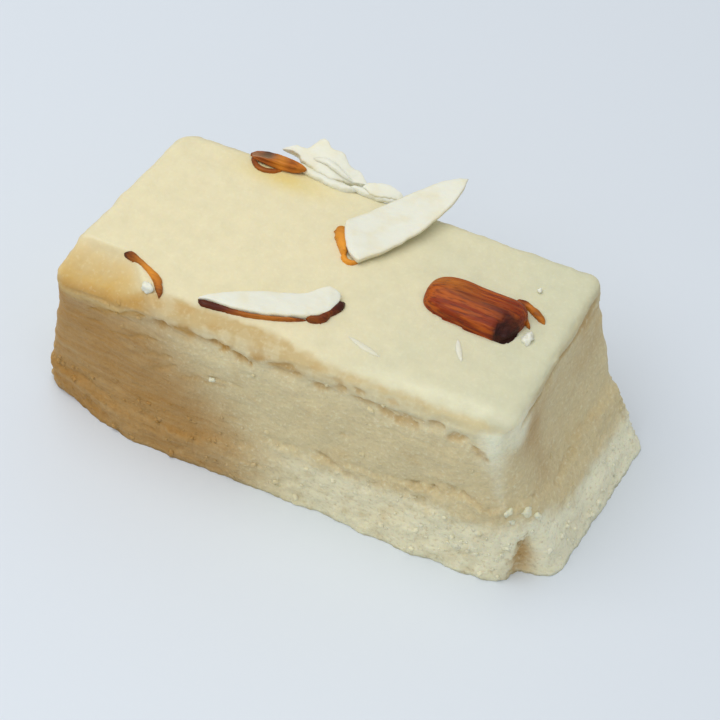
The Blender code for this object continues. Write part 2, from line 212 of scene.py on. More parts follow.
class Nodes:
    """The nodes of one material."""

    def __init__(self, name: str) -> None:
        """Start a material with a Principled surface.

        Args:
            name: The material's name.
        """
        self.material = bpy.data.materials.new(name)
        self.material.use_nodes = True
        self.tree = self.material.node_tree
        self.surface = self.tree.nodes["Principled BSDF"]
        self.place = self.add("ShaderNodeTexCoord", output="Object")

    def add(self, kind: str, settings: dict | None = None, sockets: dict | None = None,
            output: int | str = 0) -> Wire:
        """Add a node.

        Args:
            kind: The node's type.
            settings: Its own settings, which are set first.
            sockets: A value or a wire for each of its inputs, by name or number.
            output: The output that is wanted, by name or number.

        Returns:
            The wanted output.
        """
        node = self.tree.nodes.new(kind)
        for key, value in (settings or {}).items():
            setattr(node, key, value)
        for key, value in (sockets or {}).items():
            self.set(node.inputs[key], value)
        return Wire(self, node.outputs[output])

    def set(self, socket: bpy.types.NodeSocket, value: "Wire | float | Sequence[float]") -> None:
        """Give a socket its value.

        Args:
            socket: The socket.
            value: A plain value, or the wire that feeds the socket.
        """
        if isinstance(value, Wire):
            self.tree.links.new(value.socket, socket)
        else:
            socket.default_value = value

    def mask(self, mask: Mask) -> Wire:
        """Return what the mesh says about each of its points."""
        return self.add("ShaderNodeAttribute", {"attribute_name": mask.value}, output="Fac")

    def across(self, axis: str) -> Wire:
        """Return how far along an axis of the object a point lies, in metres."""
        return self.add("ShaderNodeSeparateXYZ", None, {0: self.place}, axis)

    def specks(self, size: float, detail: float = 2.0, stretch: Triple = (1.0, 1.0, 1.0)) -> Wire:
        """Return cloudy noise from 0 to 1.

        Args:
            size: How large its clouds are, in metres.
            detail: How many finer layers it has.
            stretch: How many times longer the clouds are along each axis.

        Returns:
            The noise.
        """
        scale = [1.0 / (size * part) for part in stretch]
        spread = self.add("ShaderNodeVectorMath", {"operation": "MULTIPLY"}, {0: self.place, 1: scale})
        return self.add("ShaderNodeTexNoise", None, {"Vector": spread, "Scale": 1.0, "Detail": detail})

    def blend(self, share: "Wire | float", first: "Wire | Triple", second: "Wire | Triple") -> Wire:
        """Return a colour that goes from the first to the second."""
        ends = [end if isinstance(end, Wire) else (*end, 1.0) for end in (first, second)]
        return self.add("ShaderNodeMix", {"data_type": "RGBA"}, {0: share, 6: ends[0], 7: ends[1]}, 2)

    def shade(self, colour: Wire, light: Wire) -> Wire:
        """Return a colour made lighter or darker by a value."""
        return self.add("ShaderNodeVectorMath", {"operation": "SCALE"}, {0: colour, "Scale": light})

    def bump(self, height: Wire, distance: float) -> Wire:
        """Return the surface's direction with fine relief, whose full height is the distance."""
        return self.add("ShaderNodeBump", None, {"Distance": distance, "Height": height})

    def finish(self, sockets: dict) -> bpy.types.Material:
        """Give the surface its values.

        Args:
            sockets: A value or a wire for each of its sockets, by name.

        Returns:
            The material.
        """
        for key, value in sockets.items():
            self.set(self.surface.inputs[key], value)
        return self.material


@dataclass(frozen=True)
class FudgeFinish:
    """Milk fudge: soft, matt and grainy, warm on its cut sides."""

    # The top's own colour at the left, and at the right end a painted cooler tint that stands in for cooler
    # light.
    top_warm: Triple = (0.755, 0.69, 0.45)
    top_cool: Triple = (0.635, 0.63, 0.44)
    cut: Triple = (0.71, 0.60, 0.34)
    crumb: Triple = (0.85, 0.785, 0.53)
    # Partly the fudge's own brown, partly painted shadow.
    brown_and_shadow: Triple = (0.42, 0.222, 0.054)
    gold: Triple = (0.56, 0.35, 0.075)
    stain: Triple = (0.74, 0.60, 0.23)
    # The orange-brown of tears and cracks, which also paints shade inside them.
    crevice: Triple = (0.52, 0.30, 0.075)
    # The crust's tan: partly its own, partly painted shade on the rolled-over top edge.
    crust_warm: Triple = (0.546, 0.41, 0.187)
    crust_cool: Triple = (0.615, 0.54, 0.31)
    # Pale: the colour of pale crumbs and flecks, and of painted highlights on the corner and edges.
    pale: Triple = (0.93, 0.92, 0.68)
    # Where the painted cooler light towards the right end begins along the bar, and where it is complete.
    cool_light_span: Pair = (-14.0 * MM, 30.0 * MM)
    cloud: float = 11.0 * MM
    blotch: float = 5.0 * MM
    mottle: float = 2.6 * MM
    grain: float = 0.55 * MM
    dust: float = 0.2 * MM
    streak: float = 1.1 * MM
    streak_stretch: Triple = (7.0, 7.0, 0.8)
    blotch_strength: float = 0.16
    pit_shade_strength: float = 0.28
    relief: float = 0.22 * MM
    scatter: float = 1.2 * MM

    def make(self, name: str) -> bpy.types.Material:
        """Make the material.

        Args:
            name: Its name.

        Returns:
            The material.
        """
        nodes = Nodes(name)
        clouds = nodes.specks(self.cloud, 3.0)
        mottle = nodes.specks(self.mottle, 3.0)
        grain = nodes.specks(self.grain, 3.0)
        streaks = nodes.specks(self.streak, 3.0, self.streak_stretch)
        side, crumbly, tan = (nodes.mask(mask) for mask in (Mask.SIDE, Mask.CRUMBLY, Mask.BROWN_AND_SHADOW))
        # Painted light: the top and the crust are tinted cooler and greyer towards the right end.
        cool_light = (nodes.across("X") + (clouds - 0.5) * 0.03).smooth(*self.cool_light_span)
        crust = nodes.blend(cool_light, self.crust_warm, self.crust_cool)
        patchy = 0.55 + 0.3 * streaks.smooth(0.35, 0.65) + 0.4 * mottle.smooth(0.42, 0.56)
        blotches = side * nodes.specks(self.blotch, 2.0).smooth(0.52, 0.7)
        colour = nodes.blend(cool_light, self.top_warm, self.top_cool)
        for share, shade in (
                (side, self.cut),
                (self.blotch_strength * blotches * (1.0 - crumbly), self.crevice),
                (crumbly * mottle.smooth(0.15, 0.55), self.crumb),
                # Crust: partly its own tan, partly painted shade and shadow under the top's edge.
                (nodes.mask(Mask.CRUST_AND_SHADE) * patchy, crust),
                # Brown at the left of the near side: partly its own, partly painted shadow.
                (tan * (0.5 + 0.5 * clouds + 0.5 * streaks), self.brown_and_shadow),
                # Painted highlight on the corner and edges, painted light at the feet, and pale crumbs.
                (nodes.mask(Mask.PALE_CRUMB_AND_HIGHLIGHT), self.pale),
                (nodes.mask(Mask.WORN) * (0.65 + 0.6 * mottle), self.gold),
                (nodes.mask(Mask.STAINED) * (0.6 + 0.7 * mottle), self.stain),
                # Tears and cracks: their own orange-brown, and painted shade inside them.
                (nodes.mask(Mask.CAVITY_TONE_AND_SHADE) * (0.5 + 0.8 * mottle), self.crevice),
                # Painted shade: the grain's pits are darker and browner where its relief dips.
                (grain.smooth(0.42, 0.26) * self.pit_shade_strength * crumbly, self.crevice),
                (grain.smooth(0.54, 0.72) * (0.1 + 0.22 * side) * (1.0 - tan), self.pale)):
            colour = nodes.blend(share, colour, shade)
        # The grain's hollows are a little darker: painted shade.
        light = 0.92 + 0.16 * mottle - 0.05 * grain.smooth(0.5, 0.35) * (0.3 + side)
        relief = 0.6 * grain + 0.6 * mottle + 0.1 * nodes.specks(self.dust, 2.0)
        return nodes.finish({
            "Base Color": nodes.shade(colour, light),
            "Roughness": 0.50 + 0.2 * grain,
            "Normal": nodes.bump(relief * (0.3 + side), self.relief),
            "Subsurface Weight": 0.25,
            "Subsurface Radius": (1.0, 0.75, 0.45),
            "Subsurface Scale": self.scatter,
            "Specular IOR Level": 0.25,
        })


@dataclass(frozen=True)
class SkinFinish:
    """Almond skin: reddish brown, with fine lengthwise wrinkles."""

    brown: Triple = (0.24, 0.030, 0.004)
    orange: Triple = (0.46, 0.10, 0.009)
    # Near black: the skin's own dark, and painted shadow in the kernel's broken hollow and in the fine
    # fibres' hollows.
    dark: Triple = (0.035, 0.009, 0.007)
    # Amber: painted highlight on the lit parts of the kernel and the chip, and the amber of the skin strips.
    amber: Triple = (0.82, 0.34, 0.035)
    flesh: Triple = (0.74, 0.60, 0.38)
    stretch: Triple = (9.0, 1.0, 1.0)
    streak: float = 0.75 * MM
    fibre: float = 0.3 * MM
    blotch: float = 2.4 * MM
    blotch_stretch: Triple = (2.0, 1.0, 1.0)
    relief: float = 0.3 * MM
    scatter: float = 0.5 * MM

    def make(self, name: str) -> bpy.types.Material:
        """Make the material.

        Args:
            name: Its name.

        Returns:
            The material.
        """
        nodes = Nodes(name)
        streaks = nodes.specks(self.streak, 3.0, self.stretch)
        fine = nodes.specks(self.fibre, 2.0, self.stretch)
        blotches = nodes.specks(self.blotch, 2.0, self.blotch_stretch)
        amber_and_highlight = nodes.mask(Mask.AMBER_AND_HIGHLIGHT)
        # Orange on the crests of the streaks, which the bump raises, and near black in the fine fibres'
        # hollows: partly the skin's own tones, partly painted highlight and shade on its wrinkles.
        colour = nodes.blend(streaks.smooth(0.42, 0.64) * 0.8, self.brown, self.orange)
        # Painted highlight in amber where the pieces are lit.
        colour = nodes.blend(amber_and_highlight * (0.6 + 0.6 * blotches), colour, self.amber)
        colour = nodes.blend(fine.smooth(0.52, 0.34) * 0.45 * (1.0 - amber_and_highlight), colour, self.dark)
        colour = nodes.blend(nodes.mask(Mask.DARK_AND_SHADOW) * (0.6 + 0.7 * blotches), colour, self.dark)
        return nodes.finish({
            "Base Color": nodes.blend(nodes.mask(Mask.BARE), colour, self.flesh),
            "Roughness": 0.36 + 0.25 * fine,
            "Normal": nodes.bump(0.6 * streaks + 0.4 * fine, self.relief),
            "Subsurface Weight": 0.05,
            "Subsurface Radius": (1.0, 0.3, 0.1),
            "Subsurface Scale": self.scatter,
            "Specular IOR Level": 0.2,
        })


@dataclass(frozen=True)
class FleshFinish:
    """Blanched almond: ivory, smooth and a little translucent."""

    ivory: Triple = (0.76, 0.765, 0.65)
    cream: Triple = (0.74, 0.69, 0.48)
    cloud: float = 3.2 * MM
    fibre: float = 0.5 * MM
    stretch: Triple = (3.0, 1.4, 1.0)
    relief: float = 0.09 * MM
    scatter: float = 0.9 * MM

    def make(self, name: str) -> bpy.types.Material:
        """Make the material.

        Args:
            name: Its name.

        Returns:
            The material.
        """
        nodes = Nodes(name)
        fibre = nodes.specks(self.fibre, 2.0, self.stretch)
        clouds = nodes.specks(self.cloud, 2.0).smooth(0.45, 0.75)
        colour = nodes.blend(clouds * 0.55, self.ivory, self.cream)
        colour = nodes.blend(nodes.mask(Mask.BARE) * 0.6, colour, self.cream)
        return nodes.finish({
            "Base Color": nodes.shade(colour, 0.97 + 0.06 * fibre),
            "Roughness": 0.42 + 0.2 * fibre,
            "Normal": nodes.bump(fibre, self.relief),
            "Subsurface Weight": 0.35,
            "Subsurface Radius": (1.0, 0.85, 0.6),
            "Subsurface Scale": self.scatter,
            "Specular IOR Level": 0.4,
        })


Finishes = dict[Slot, bpy.types.Material]


def show(name: str, data: bpy.types.ID) -> bpy.types.Object:
    """Put something in the scene.

    Args:
        name: Its name.
        data: The mesh, lamp or camera that it shows.

    Returns:
        Its object.
    """
    shown = bpy.data.objects.new(name, data)
    bpy.context.scene.collection.objects.link(shown)
    return shown


class Shape:
    """A mesh under construction, with what is known about each of its points."""

    def __init__(self, masks: Sequence[Mask]) -> None:
        """Start an empty mesh that keeps these masks."""
        self.mesh = bmesh.new()
        self.layers = {mask: self.mesh.verts.layers.float.new(mask.value) for mask in masks}

    def note(self, vert: bmesh.types.BMVert, values: dict[Mask, float]) -> None:
        """Say what is known about a point."""
        for mask, value in values.items():
            vert[self.layers[mask]] = value

    def add_box(self, segments: tuple[int, int, int]) -> None:
        """Add a box from -1 to 1, cut into rows.

        Args:
            segments: How many rows it has along each axis.
        """
        bmesh.ops.create_cube(self.mesh, size=2.0)
        for axis, rows in enumerate(segments):
            running = [edge for edge in self.mesh.edges
                       if abs(edge.verts[0].co[axis] - edge.verts[1].co[axis]) > 1.0]
            bmesh.ops.subdivide_edges(self.mesh, edges=running, cuts=rows - 1, use_grid_fill=True)

    def add_ball(self, rings: tuple[int, int]) -> list[tuple[bmesh.types.BMVert, float, float, float]]:
        """Add a ball, whose poles become the two ends of a long thing.

        Args:
            rings: How many points it has round it, and how many rows from pole to pole.

        Returns:
            Each point, its angle round the line through the poles, its distance from that line,
            and how far it is from the first pole to the second, as a share of the way round.
        """
        bmesh.ops.create_uvsphere(self.mesh, u_segments=rings[0], v_segments=rings[1], radius=1.0)
        points = []
        for vert in self.mesh.verts:
            x, y, z = vert.co
            share = 0.5 * (math.asin(max(-1.0, min(1.0, z))) / (0.5 * math.pi) + 1.0)
            points.append((vert, math.atan2(y, x), math.hypot(x, y), share))
        return points

    def merge(self, distance: float) -> None:
        """Join the points that lie closer together than a distance."""
        bmesh.ops.remove_doubles(self.mesh, verts=self.mesh.verts, dist=distance)

    def finish(self, name: str, finishes: Finishes, slot: Slot, *replaced: str) -> bpy.types.Object:
        """Make the piece.

        Args:
            name: The piece's name.
            finishes: The materials.
            slot: The record's name for its finish.
            replaced: The model's nodes that it stands for.

        Returns:
            The piece, which rides on the body.
        """
        bmesh.ops.recalc_face_normals(self.mesh, faces=self.mesh.faces)
        mesh = bpy.data.meshes.new(name)
        self.mesh.to_mesh(mesh)
        self.mesh.free()
        mesh.materials.append(finishes[slot])
        mesh.shade_smooth()
        piece = show(name, mesh)
        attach(piece, BODY)
        if replaced:
            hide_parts(*replaced)
        LOG.info("%s: %d faces", name, len(mesh.polygons))
        return piece


@dataclass(frozen=True)
class Block:
    """The bar's plain form: a long block, slanted at both ends and flared at its right end."""

    height: float = 34.0 * MM
    half_length: float = 33.2 * MM
    half_width: float = 16.3 * MM
    top_edge_drop: float = 1.9 * MM
    corner_radius: float = 2.6 * MM
    near_corner_top: float = 4.6 * MM
    near_corner_base: float = 9.0 * MM
    near_corner_reach: Pair = (0.2, 0.9)
    edge_power: float = 2.9

    left_end: float = -37.8 * MM
    left_slant: float = 3.8 * MM
    left_flare: float = 1.6 * MM
    right_end: float = 28.8 * MM
    right_slant: float = 1.8 * MM
    right_flare: float = 10.2 * MM
    right_flare_slant: float = 0.9 * MM
    flare_power: float = 1.45
    near_top: float = -16.1 * MM
    near_top_cut: float = 1.5 * MM
    near_base: float = -15.1 * MM
    near_base_slant: float = -1.5 * MM
    undercut: float = 3.8 * MM
    far_top: float = 16.5 * MM
    far_base: float = 17.0 * MM

    def rounded(self, along: float, across: float, up: float) -> tuple[float, float, float, Vector]:
        """Round the top and upright edges of a box.

        Args:
            along: Where the point is along the box, from -1 to 1.
            across: Where it is across the box, from -1 to 1.
            up: Where it is up the box, from 0 to 1.

        Returns:
            The same of the rounded form, and the direction that its surface faces.
        """
        near_corner = ramp(*self.near_corner_reach, along) * ramp(*self.near_corner_reach, -across)
        wide = mix(self.near_corner_base, self.near_corner_top, up)
        radius = mix(self.corner_radius, wide, near_corner)
        radii = Vector((radius, radius, self.top_edge_drop))
        point = Vector((along * self.half_length, across * self.half_width, up * self.height))
        limit = Vector((self.half_length, self.half_width, self.height)) - radii
        lowest = Vector((-limit.x, -limit.y, 0.0))
        core = Vector([min(most, max(least, part)) for part, least, most in zip(point, lowest, limit)])
        arm = Vector([offset / reach for offset, reach in zip(point - core, radii)])
        if arm.length == 0.0:
            return along, across, up, -UP
        level = math.hypot(arm.x, arm.y)
        power = self.edge_power
        arm *= max(abs(part) for part in arm) / (level ** power + abs(arm.z) ** power) ** (1.0 / power)
        rounded = core + Vector([part * reach for part, reach in zip(arm, radii)])
        facing = Vector([part / reach for part, reach in zip(arm, radii)]).normalized()
        return rounded.x / self.half_length, rounded.y / self.half_width, rounded.z / self.height, facing

    def surface(self, along: float, across: float, up: float) -> tuple[Vector, Vector]:
        """Find the place on the block of a point on a box.

        Args:
            along: Where the point is along the box, from -1 to 1.
            across: Where it is across the box, from -1 to 1.
            up: Where it is up the box, from 0 to 1.

        Returns:
            The place, and the direction that the surface faces there.
        """
        along, across, up, facing = self.rounded(along, across, up)
        spread = max(0.0, 1.0 - up) ** self.flare_power
        left = self.left_end + self.left_slant * across - self.left_flare * spread
        flare = (self.right_flare + self.right_flare_slant * across) * spread
        right = self.right_end + self.right_slant * across + flare
        near_base = self.near_base + self.near_base_slant * along + self.undercut * ramp(-0.6, -1.05, along)
        near_top = self.near_top + self.near_top_cut * ramp(-0.4, -0.8, along)
        near, far = mix(near_base, near_top, up), mix(self.far_base, self.far_top, up)
        x, y = mix(left, right, 0.5 * (along + 1.0)), mix(near, far, 0.5 * (across + 1.0))
        return Vector((x, y, up * self.height)), facing


@dataclass(frozen=True)
class WornCorner:
    """The worn corner at the left of the near side, where the top drops away."""

    step: float = 0.4 * MM
    depth: float = 3.1 * MM
    start: float = -24.5 * MM
    full: float = -33.0 * MM
    line_start: float = -15.6 * MM
    line_full: float = -8.0 * MM
    width: float = 6.8 * MM
    roughness: float = 0.12
    grain: float = 3.0 * MM
    crumb: float = 0.16 * MM
    crumb_size: float = 1.6 * MM
    seed: float = 9.0

    def inside(self, place: Vector) -> float:
        """Return how far inside the worn part a place is, from 0 to 1."""
        line = mix(self.line_start, self.line_full, ramp(self.start, self.full, place.x))
        return min(1.0, max(0.0, (line - place.y) / self.width))

    def drop(self, place: Vector, height: float) -> float:
        """Return how far the top lies below the rest.

        Args:
            place: The place on the top.
            height: The bar's height.

        Returns:
            The drop, in metres.
        """
        inside = self.inside(place)
        level = Vector((place.x, place.y, height))
        whole = self.step * ramp(0.0, 0.15, inside) + self.depth * inside
        crumbs = self.crumb * ramp(0.0, 0.2, inside) * crumbled(level, self.crumb_size, self.seed)
        return whole * (1.0 - self.roughness * rough(level, self.grain, self.seed)) + crumbs


@dataclass(frozen=True)
class SoftEdge:
    """The top's near edge, which rolls over, and the corner at its right, which falls away."""

    roll: float = 0.9 * MM
    right_roll: float = 0.45 * MM
    easing: Pair = (-10.0 * MM, 8.0 * MM)
    left_end: Pair = (-30.0 * MM, -24.0 * MM)
    right_end: Pair = (27.0 * MM, 21.0 * MM)
    across: Pair = (-13.2 * MM, -16.4 * MM)
    nose: Pair = (28.5 * MM, -17.0 * MM)
    nose_drop: float = 2.1 * MM
    nose_reach: float = 7.0 * MM

    def rolled(self, place: Vector) -> float:
        """Return how far the roll lowers the top at a place."""
        roll = mix(self.roll, self.right_roll, ramp(*self.easing, place.x)) * ramp(*self.across, place.y)
        return roll * ramp(*self.left_end, place.x) * ramp(*self.right_end, place.x)

    def fallen(self, place: Vector) -> float:
        """Return how far the fallen corner lowers the top at a place."""
        return self.nose_drop * ramp(self.nose_reach, 0.0, (place.xy - Vector(self.nose)).length)


@dataclass
class Spot:
    """A point of the bar's surface before its relief.

    place is the point in millimetres. near and end say how far it faces to the near side and to
    the right, on_side is 1 on a side and 0 on the top, and uneven is a small swing that breaks up
    the borders of colours. depth is how far it lies below the top, and fall is how far down it
    looks from above the near side, in millimetres.
    """

    point: Vector
    place: Vector
    facing: Vector
    near: float
    end: float
    on_side: float
    uneven: float
    depth: float
    fall: float


@dataclass(frozen=True)
class Crust:
    """The firm crust under the top edge, and the wide cracks below it."""

    depth: float = 2.9 * MM
    swing: float = 0.3
    swing_size: float = 9.0 * MM
    swing_seed: float = 3.0
    step: float = 0.12 * MM
    step_ends: Pair = (0.7, 1.3)
    crack_depth: float = 0.3 * MM
    crack_reach: float = 0.75 * MM
    crack_fade: float = 1.0 * MM
    crack_size: float = 7.0 * MM
    crack_seed: float = 8.0
    near_cracks: tuple[Pair, ...] = (
        (-25.0, -10.5), (-7.0, -4.4), (-1.2, 1.4), (7.4, 14.8), (16.2, 17.4), (19.6, 21.2))
    near_facing: float = -0.7
    split: float = 0.5 * MM
    split_reach: float = 0.22 * MM

    def crack_share(self, spot: Spot, reach: float) -> float:
        """Return how far a spot lies in a crack.

        Args:
            spot: The spot.
            reach: Half the crack's width.

        Returns:
            The share, from 0 outside to 1 in the middle.
        """
        point = spot.point
        level = self.depth * (1.0 + self.swing * rough(point, self.swing_size, self.swing_seed))
        if spot.facing.y < self.near_facing:
            reached = max(
                ramp(start * MM - self.crack_fade, start * MM, point.x)
                * ramp(end * MM + self.crack_fade, end * MM, point.x)
                for start, end in self.near_cracks)
        else:
            reached = ramp(0.0, 0.35, rough(point, self.crack_size, self.crack_seed))
        return hump(spot.depth, level, reach) * reached

    def stands(self, spot: Spot) -> float:
        """Return how far the surface stands out for the crust and its cracks.

        Args:
            spot: The spot.

        Returns:
            The distance, below zero where it lies back.
        """
        first, last = (share * self.depth for share in self.step_ends)
        stands = -self.step * ramp(first, last, spot.depth)
        stands -= self.crack_depth * self.crack_share(spot, self.crack_reach)
        if spot.facing.y >= self.near_facing:
            stands -= self.split * self.crack_share(spot, self.split_reach)
        return stands


@dataclass(frozen=True)
class Band:
    """The crumbly band along the base, and the broken ledge over it."""

    height: float = 12.6 * MM
    swing: float = 2.2 * MM
    swing_size: float = 11.0 * MM
    swing_seed: float = 5.0
    near_tops: tuple[float, ...] = (5.0, 5.5, 6.5, 8.5, 12.5, 13.8, 14.2, 17.3, 15.5)
    near_span: Pair = (-38.0 * MM, 30.0 * MM)
    near_across: Pair = (-4.0 * MM, -14.0 * MM)
    fray: float = 1.1 * MM
    fray_size: float = 2.1 * MM
    fade: float = 0.8 * MM
    proud: float = 0.55 * MM
    ledge_rise: float = 0.9 * MM
    ledge_reach: float = 1.0 * MM
    ledge_depth: float = 0.5 * MM
    ledge_size: float = 12.0 * MM
    ledge_seed: float = 6.0
    lump_size: float = 3.6 * MM
    lump_depth: float = 0.4 * MM
    lump_seed: float = 4.0
    crumb_size: float = 1.15 * MM
    crumb_depth: float = 0.34 * MM

    def top(self, point: Vector) -> float:
        """Find the height of the band's upper edge.

        Args:
            point: A point above or below that edge.

        Returns:
            The height, in metres.
        """
        foot = Vector((point.x, point.y, 0.0))
        elsewhere = self.height + self.swing * rough(foot, self.swing_size, self.swing_seed)
        start, end = self.near_span
        near = curve_value(self.near_tops, (point.x - start) / (end - start)) * MM
        top = mix(elsewhere, near, ramp(*self.near_across, point.y))
        return top + self.fray * crumbled(point, self.fray_size, self.swing_seed, 3)

    def stands(self, point: Vector) -> float:
        """Return how far the surface stands out for the band and its ledge.

        Args:
            point: The point, without relief.

        Returns:
            The distance, below zero where it lies back.
        """
        top = self.top(point)
        cracked = ramp(-0.1, 0.3, rough(point, self.ledge_size, self.ledge_seed))
        ledge = hump(point.z, top + self.ledge_rise, self.ledge_reach) * cracked
        lumps = self.lump_depth * grains(point, self.lump_size, self.lump_seed)
        lumps += self.crumb_depth * grains(point, self.crumb_size, self.lump_seed)
        share = ramp(top + self.fade, top - self.fade, point.z)
        return share * (self.proud + lumps) - self.ledge_depth * ledge


@dataclass(frozen=True)
class SideShape:
    """The slow waves of the sides, the near side's bulge and the right end's hollow."""

    wave: float = 0.55 * MM
    wave_size: float = 15.0 * MM
    wave_seed: float = 1.0
    ripple: float = 0.3 * MM
    ripple_size: float = 4.5 * MM
    ripple_seed: float = 2.0
    calm: float = 6.0 * MM
    bulge: float = 0.45 * MM
    bulge_top: Pair = (3.4 * MM, 6.2 * MM)
    bulge_base: Pair = (20.0 * MM, 9.0 * MM)
    bulge_left: Pair = (-24.0 * MM, -15.0 * MM)
    bulge_right: Pair = (6.0 * MM, -1.0 * MM)
    hollow: float = 1.1 * MM
    hollow_height: float = 19.0 * MM
    hollow_reach: Pair = (11.0 * MM, 8.0 * MM)

    def stands(self, spot: Spot) -> float:
        """Return how far the surface stands out for these forms.

        Args:
            spot: The spot.

        Returns:
            The distance, below zero where it lies back.
        """
        point, depth = spot.point, spot.depth
        waves = self.wave * rough(point, self.wave_size, self.wave_seed)
        waves += self.ripple * rough(point, self.ripple_size, self.ripple_seed)
        bulge = ramp(*self.bulge_top, depth) * ramp(*self.bulge_base, depth) * spot.near
        bulge *= ramp(*self.bulge_left, point.x) * ramp(*self.bulge_right, point.x)
        hollow = hump(point.y, 0.0, self.hollow_reach[0])
        hollow *= hump(point.z, self.hollow_height, self.hollow_reach[1]) * spot.end
        return waves * ramp(0.0, self.calm, depth) + self.bulge * bulge - self.hollow * hollow


@dataclass(frozen=True)
class CornerCrack:
    """The crack at the foot of the near right corner."""

    place: Pair = (32.7 * MM, -13.4 * MM)
    depth: float = 2.0 * MM
    half_widths: Pair = (2.0 * MM, 1.0 * MM)
    height: float = 10.5 * MM
    waver: float = 0.7 * MM
    waver_size: float = 2.4 * MM
    seed: float = 23.0

    def share(self, point: Vector) -> float:
        """Return how far a point lies in the crack.

        Args:
            point: The point, without relief.

        Returns:
            The share, from 0 outside to 1 in the middle.
        """
        up = point.z / self.height
        away = (point.xy - Vector(self.place)).length
        away += self.waver * crumbled(point, self.waver_size, self.seed, 3)
        return hump(away, 0.0, mix(*self.half_widths, min(1.0, up))) * ramp(1.0, 0.6, up)


@dataclass(frozen=True)
class Tear:
    """A narrow tear in the near side, in millimetres: along the bar, and down from the top.

    How far down is measured as it looks from above the near side, so that a tear can lie on the
    rounding of the top edge, where the value is about zero.
    """

    start: Pair
    end: Pair
    half_width: float
    depth: float

    def share(self, x: float, fall: float) -> float:
        """Return how far a point is in the tear.

        Args:
            x: Where the point is along the bar, in millimetres.
            fall: How far down it is, in millimetres.

        Returns:
            The share, from 0 outside to 1 in its middle.
        """
        run = (self.end[0] - self.start[0], self.end[1] - self.start[1])
        offset = (x - self.start[0], fall - self.start[1])
        along = (offset[0] * run[0] + offset[1] * run[1]) / (run[0] ** 2 + run[1] ** 2)
        held = min(1.0, max(0.0, along))
        away = math.hypot(offset[0] - held * run[0], offset[1] - held * run[1])
        return hump(away, 0.0, self.half_width * (0.7 + 0.8 * math.sin(math.pi * held)))


UPPER_TEARS = (
    Tear((-35.4, 3.4), (-31.9, 1.9), 0.6, 0.35),
    Tear((-31.0, 1.6), (-27.0, 1.4), 0.5, 0.3),
    Tear((-24.9, 2.5), (-23.1, 2.7), 0.6, 0.5),
    Tear((-21.9, 1.9), (-18.9, 1.8), 0.95, 0.45),
    Tear((-17.9, 2.2), (-14.4, 2.0), 0.5, 0.5),
    Tear((-14.7, 2.3), (-14.3, 2.6), 0.8, 0.5),
    Tear((-13.3, 2.6), (-10.7, 3.9), 0.45, 0.6),
    Tear((-7.4, 2.5), (-3.9, 1.9), 0.95, 0.45),
    Tear((-1.3, 3.9), (0.8, 3.5), 0.4, 0.45),
    Tear((2.0, 2.1), (3.1, 2.0), 0.6, 0.4),
    Tear((4.7, 2.8), (7.9, 3.3), 0.34, 0.35),
    Tear((7.9, 3.3), (11.3, 4.3), 0.36, 0.4),
    Tear((11.3, 4.4), (14.1, 3.8), 0.55, 0.5),
    Tear((16.0, 2.2), (17.8, 2.2), 0.55, 0.3),
    Tear((19.1, 3.8), (20.8, 3.4), 0.55, 0.3),
    Tear((22.6, 4.4), (24.8, 6.6), 0.4, 0.35),
)
RIM_TEARS = (
    Tear((-22.5, -2.2), (-20.6, -2.4), 0.8, 0.1),
    Tear((-17.3, -0.8), (-16.4, -0.8), 0.8, 0.12),
    Tear((-10.9, 0.4), (-8.6, 0.6), 0.9, 0.15),
    Tear((-1.9, -0.6), (-0.9, -0.6), 0.45, 0.2),
    Tear((1.6, 0.6), (2.9, 0.8), 0.45, 0.25),
    Tear((4.9, 1.1), (6.0, 1.3), 0.45, 0.25),
    Tear((9.6, 0.9), (11.0, 1.2), 0.35, 0.2),
    Tear((13.3, -0.5), (14.4, -0.3), 0.5, 0.3),
)
LOWER_TEARS = (
    Tear((1.1, 19.0), (4.3, 20.6), 0.4, 0.55),
    Tear((4.3, 20.6), (7.1, 22.0), 0.45, 0.6),
    Tear((8.6, 21.6), (12.0, 20.7), 0.36, 0.4),
    Tear((12.0, 20.9), (17.4, 18.6), 0.36, 0.45),
    Tear((17.4, 18.3), (22.8, 16.4), 0.5, 0.5),
    Tear((22.8, 16.4), (26.5, 18.0), 0.45, 0.4),
    Tear((16.3, 21.9), (17.2, 22.2), 0.6, 0.7),
    Tear((-26.8, 10.9), (-22.1, 9.5), 0.36, 0.35),
    Tear((-25.8, 14.6), (-21.6, 11.3), 0.34, 0.3),
    Tear((-33.0, 8.4), (-25.0, 6.9), 0.34, 0.3),
    Tear((-20.5, 13.0), (-13.5, 11.2), 0.34, 0.25),
    Tear((4.0, 12.4), (4.2, 13.0), 0.35, 0.3),
)


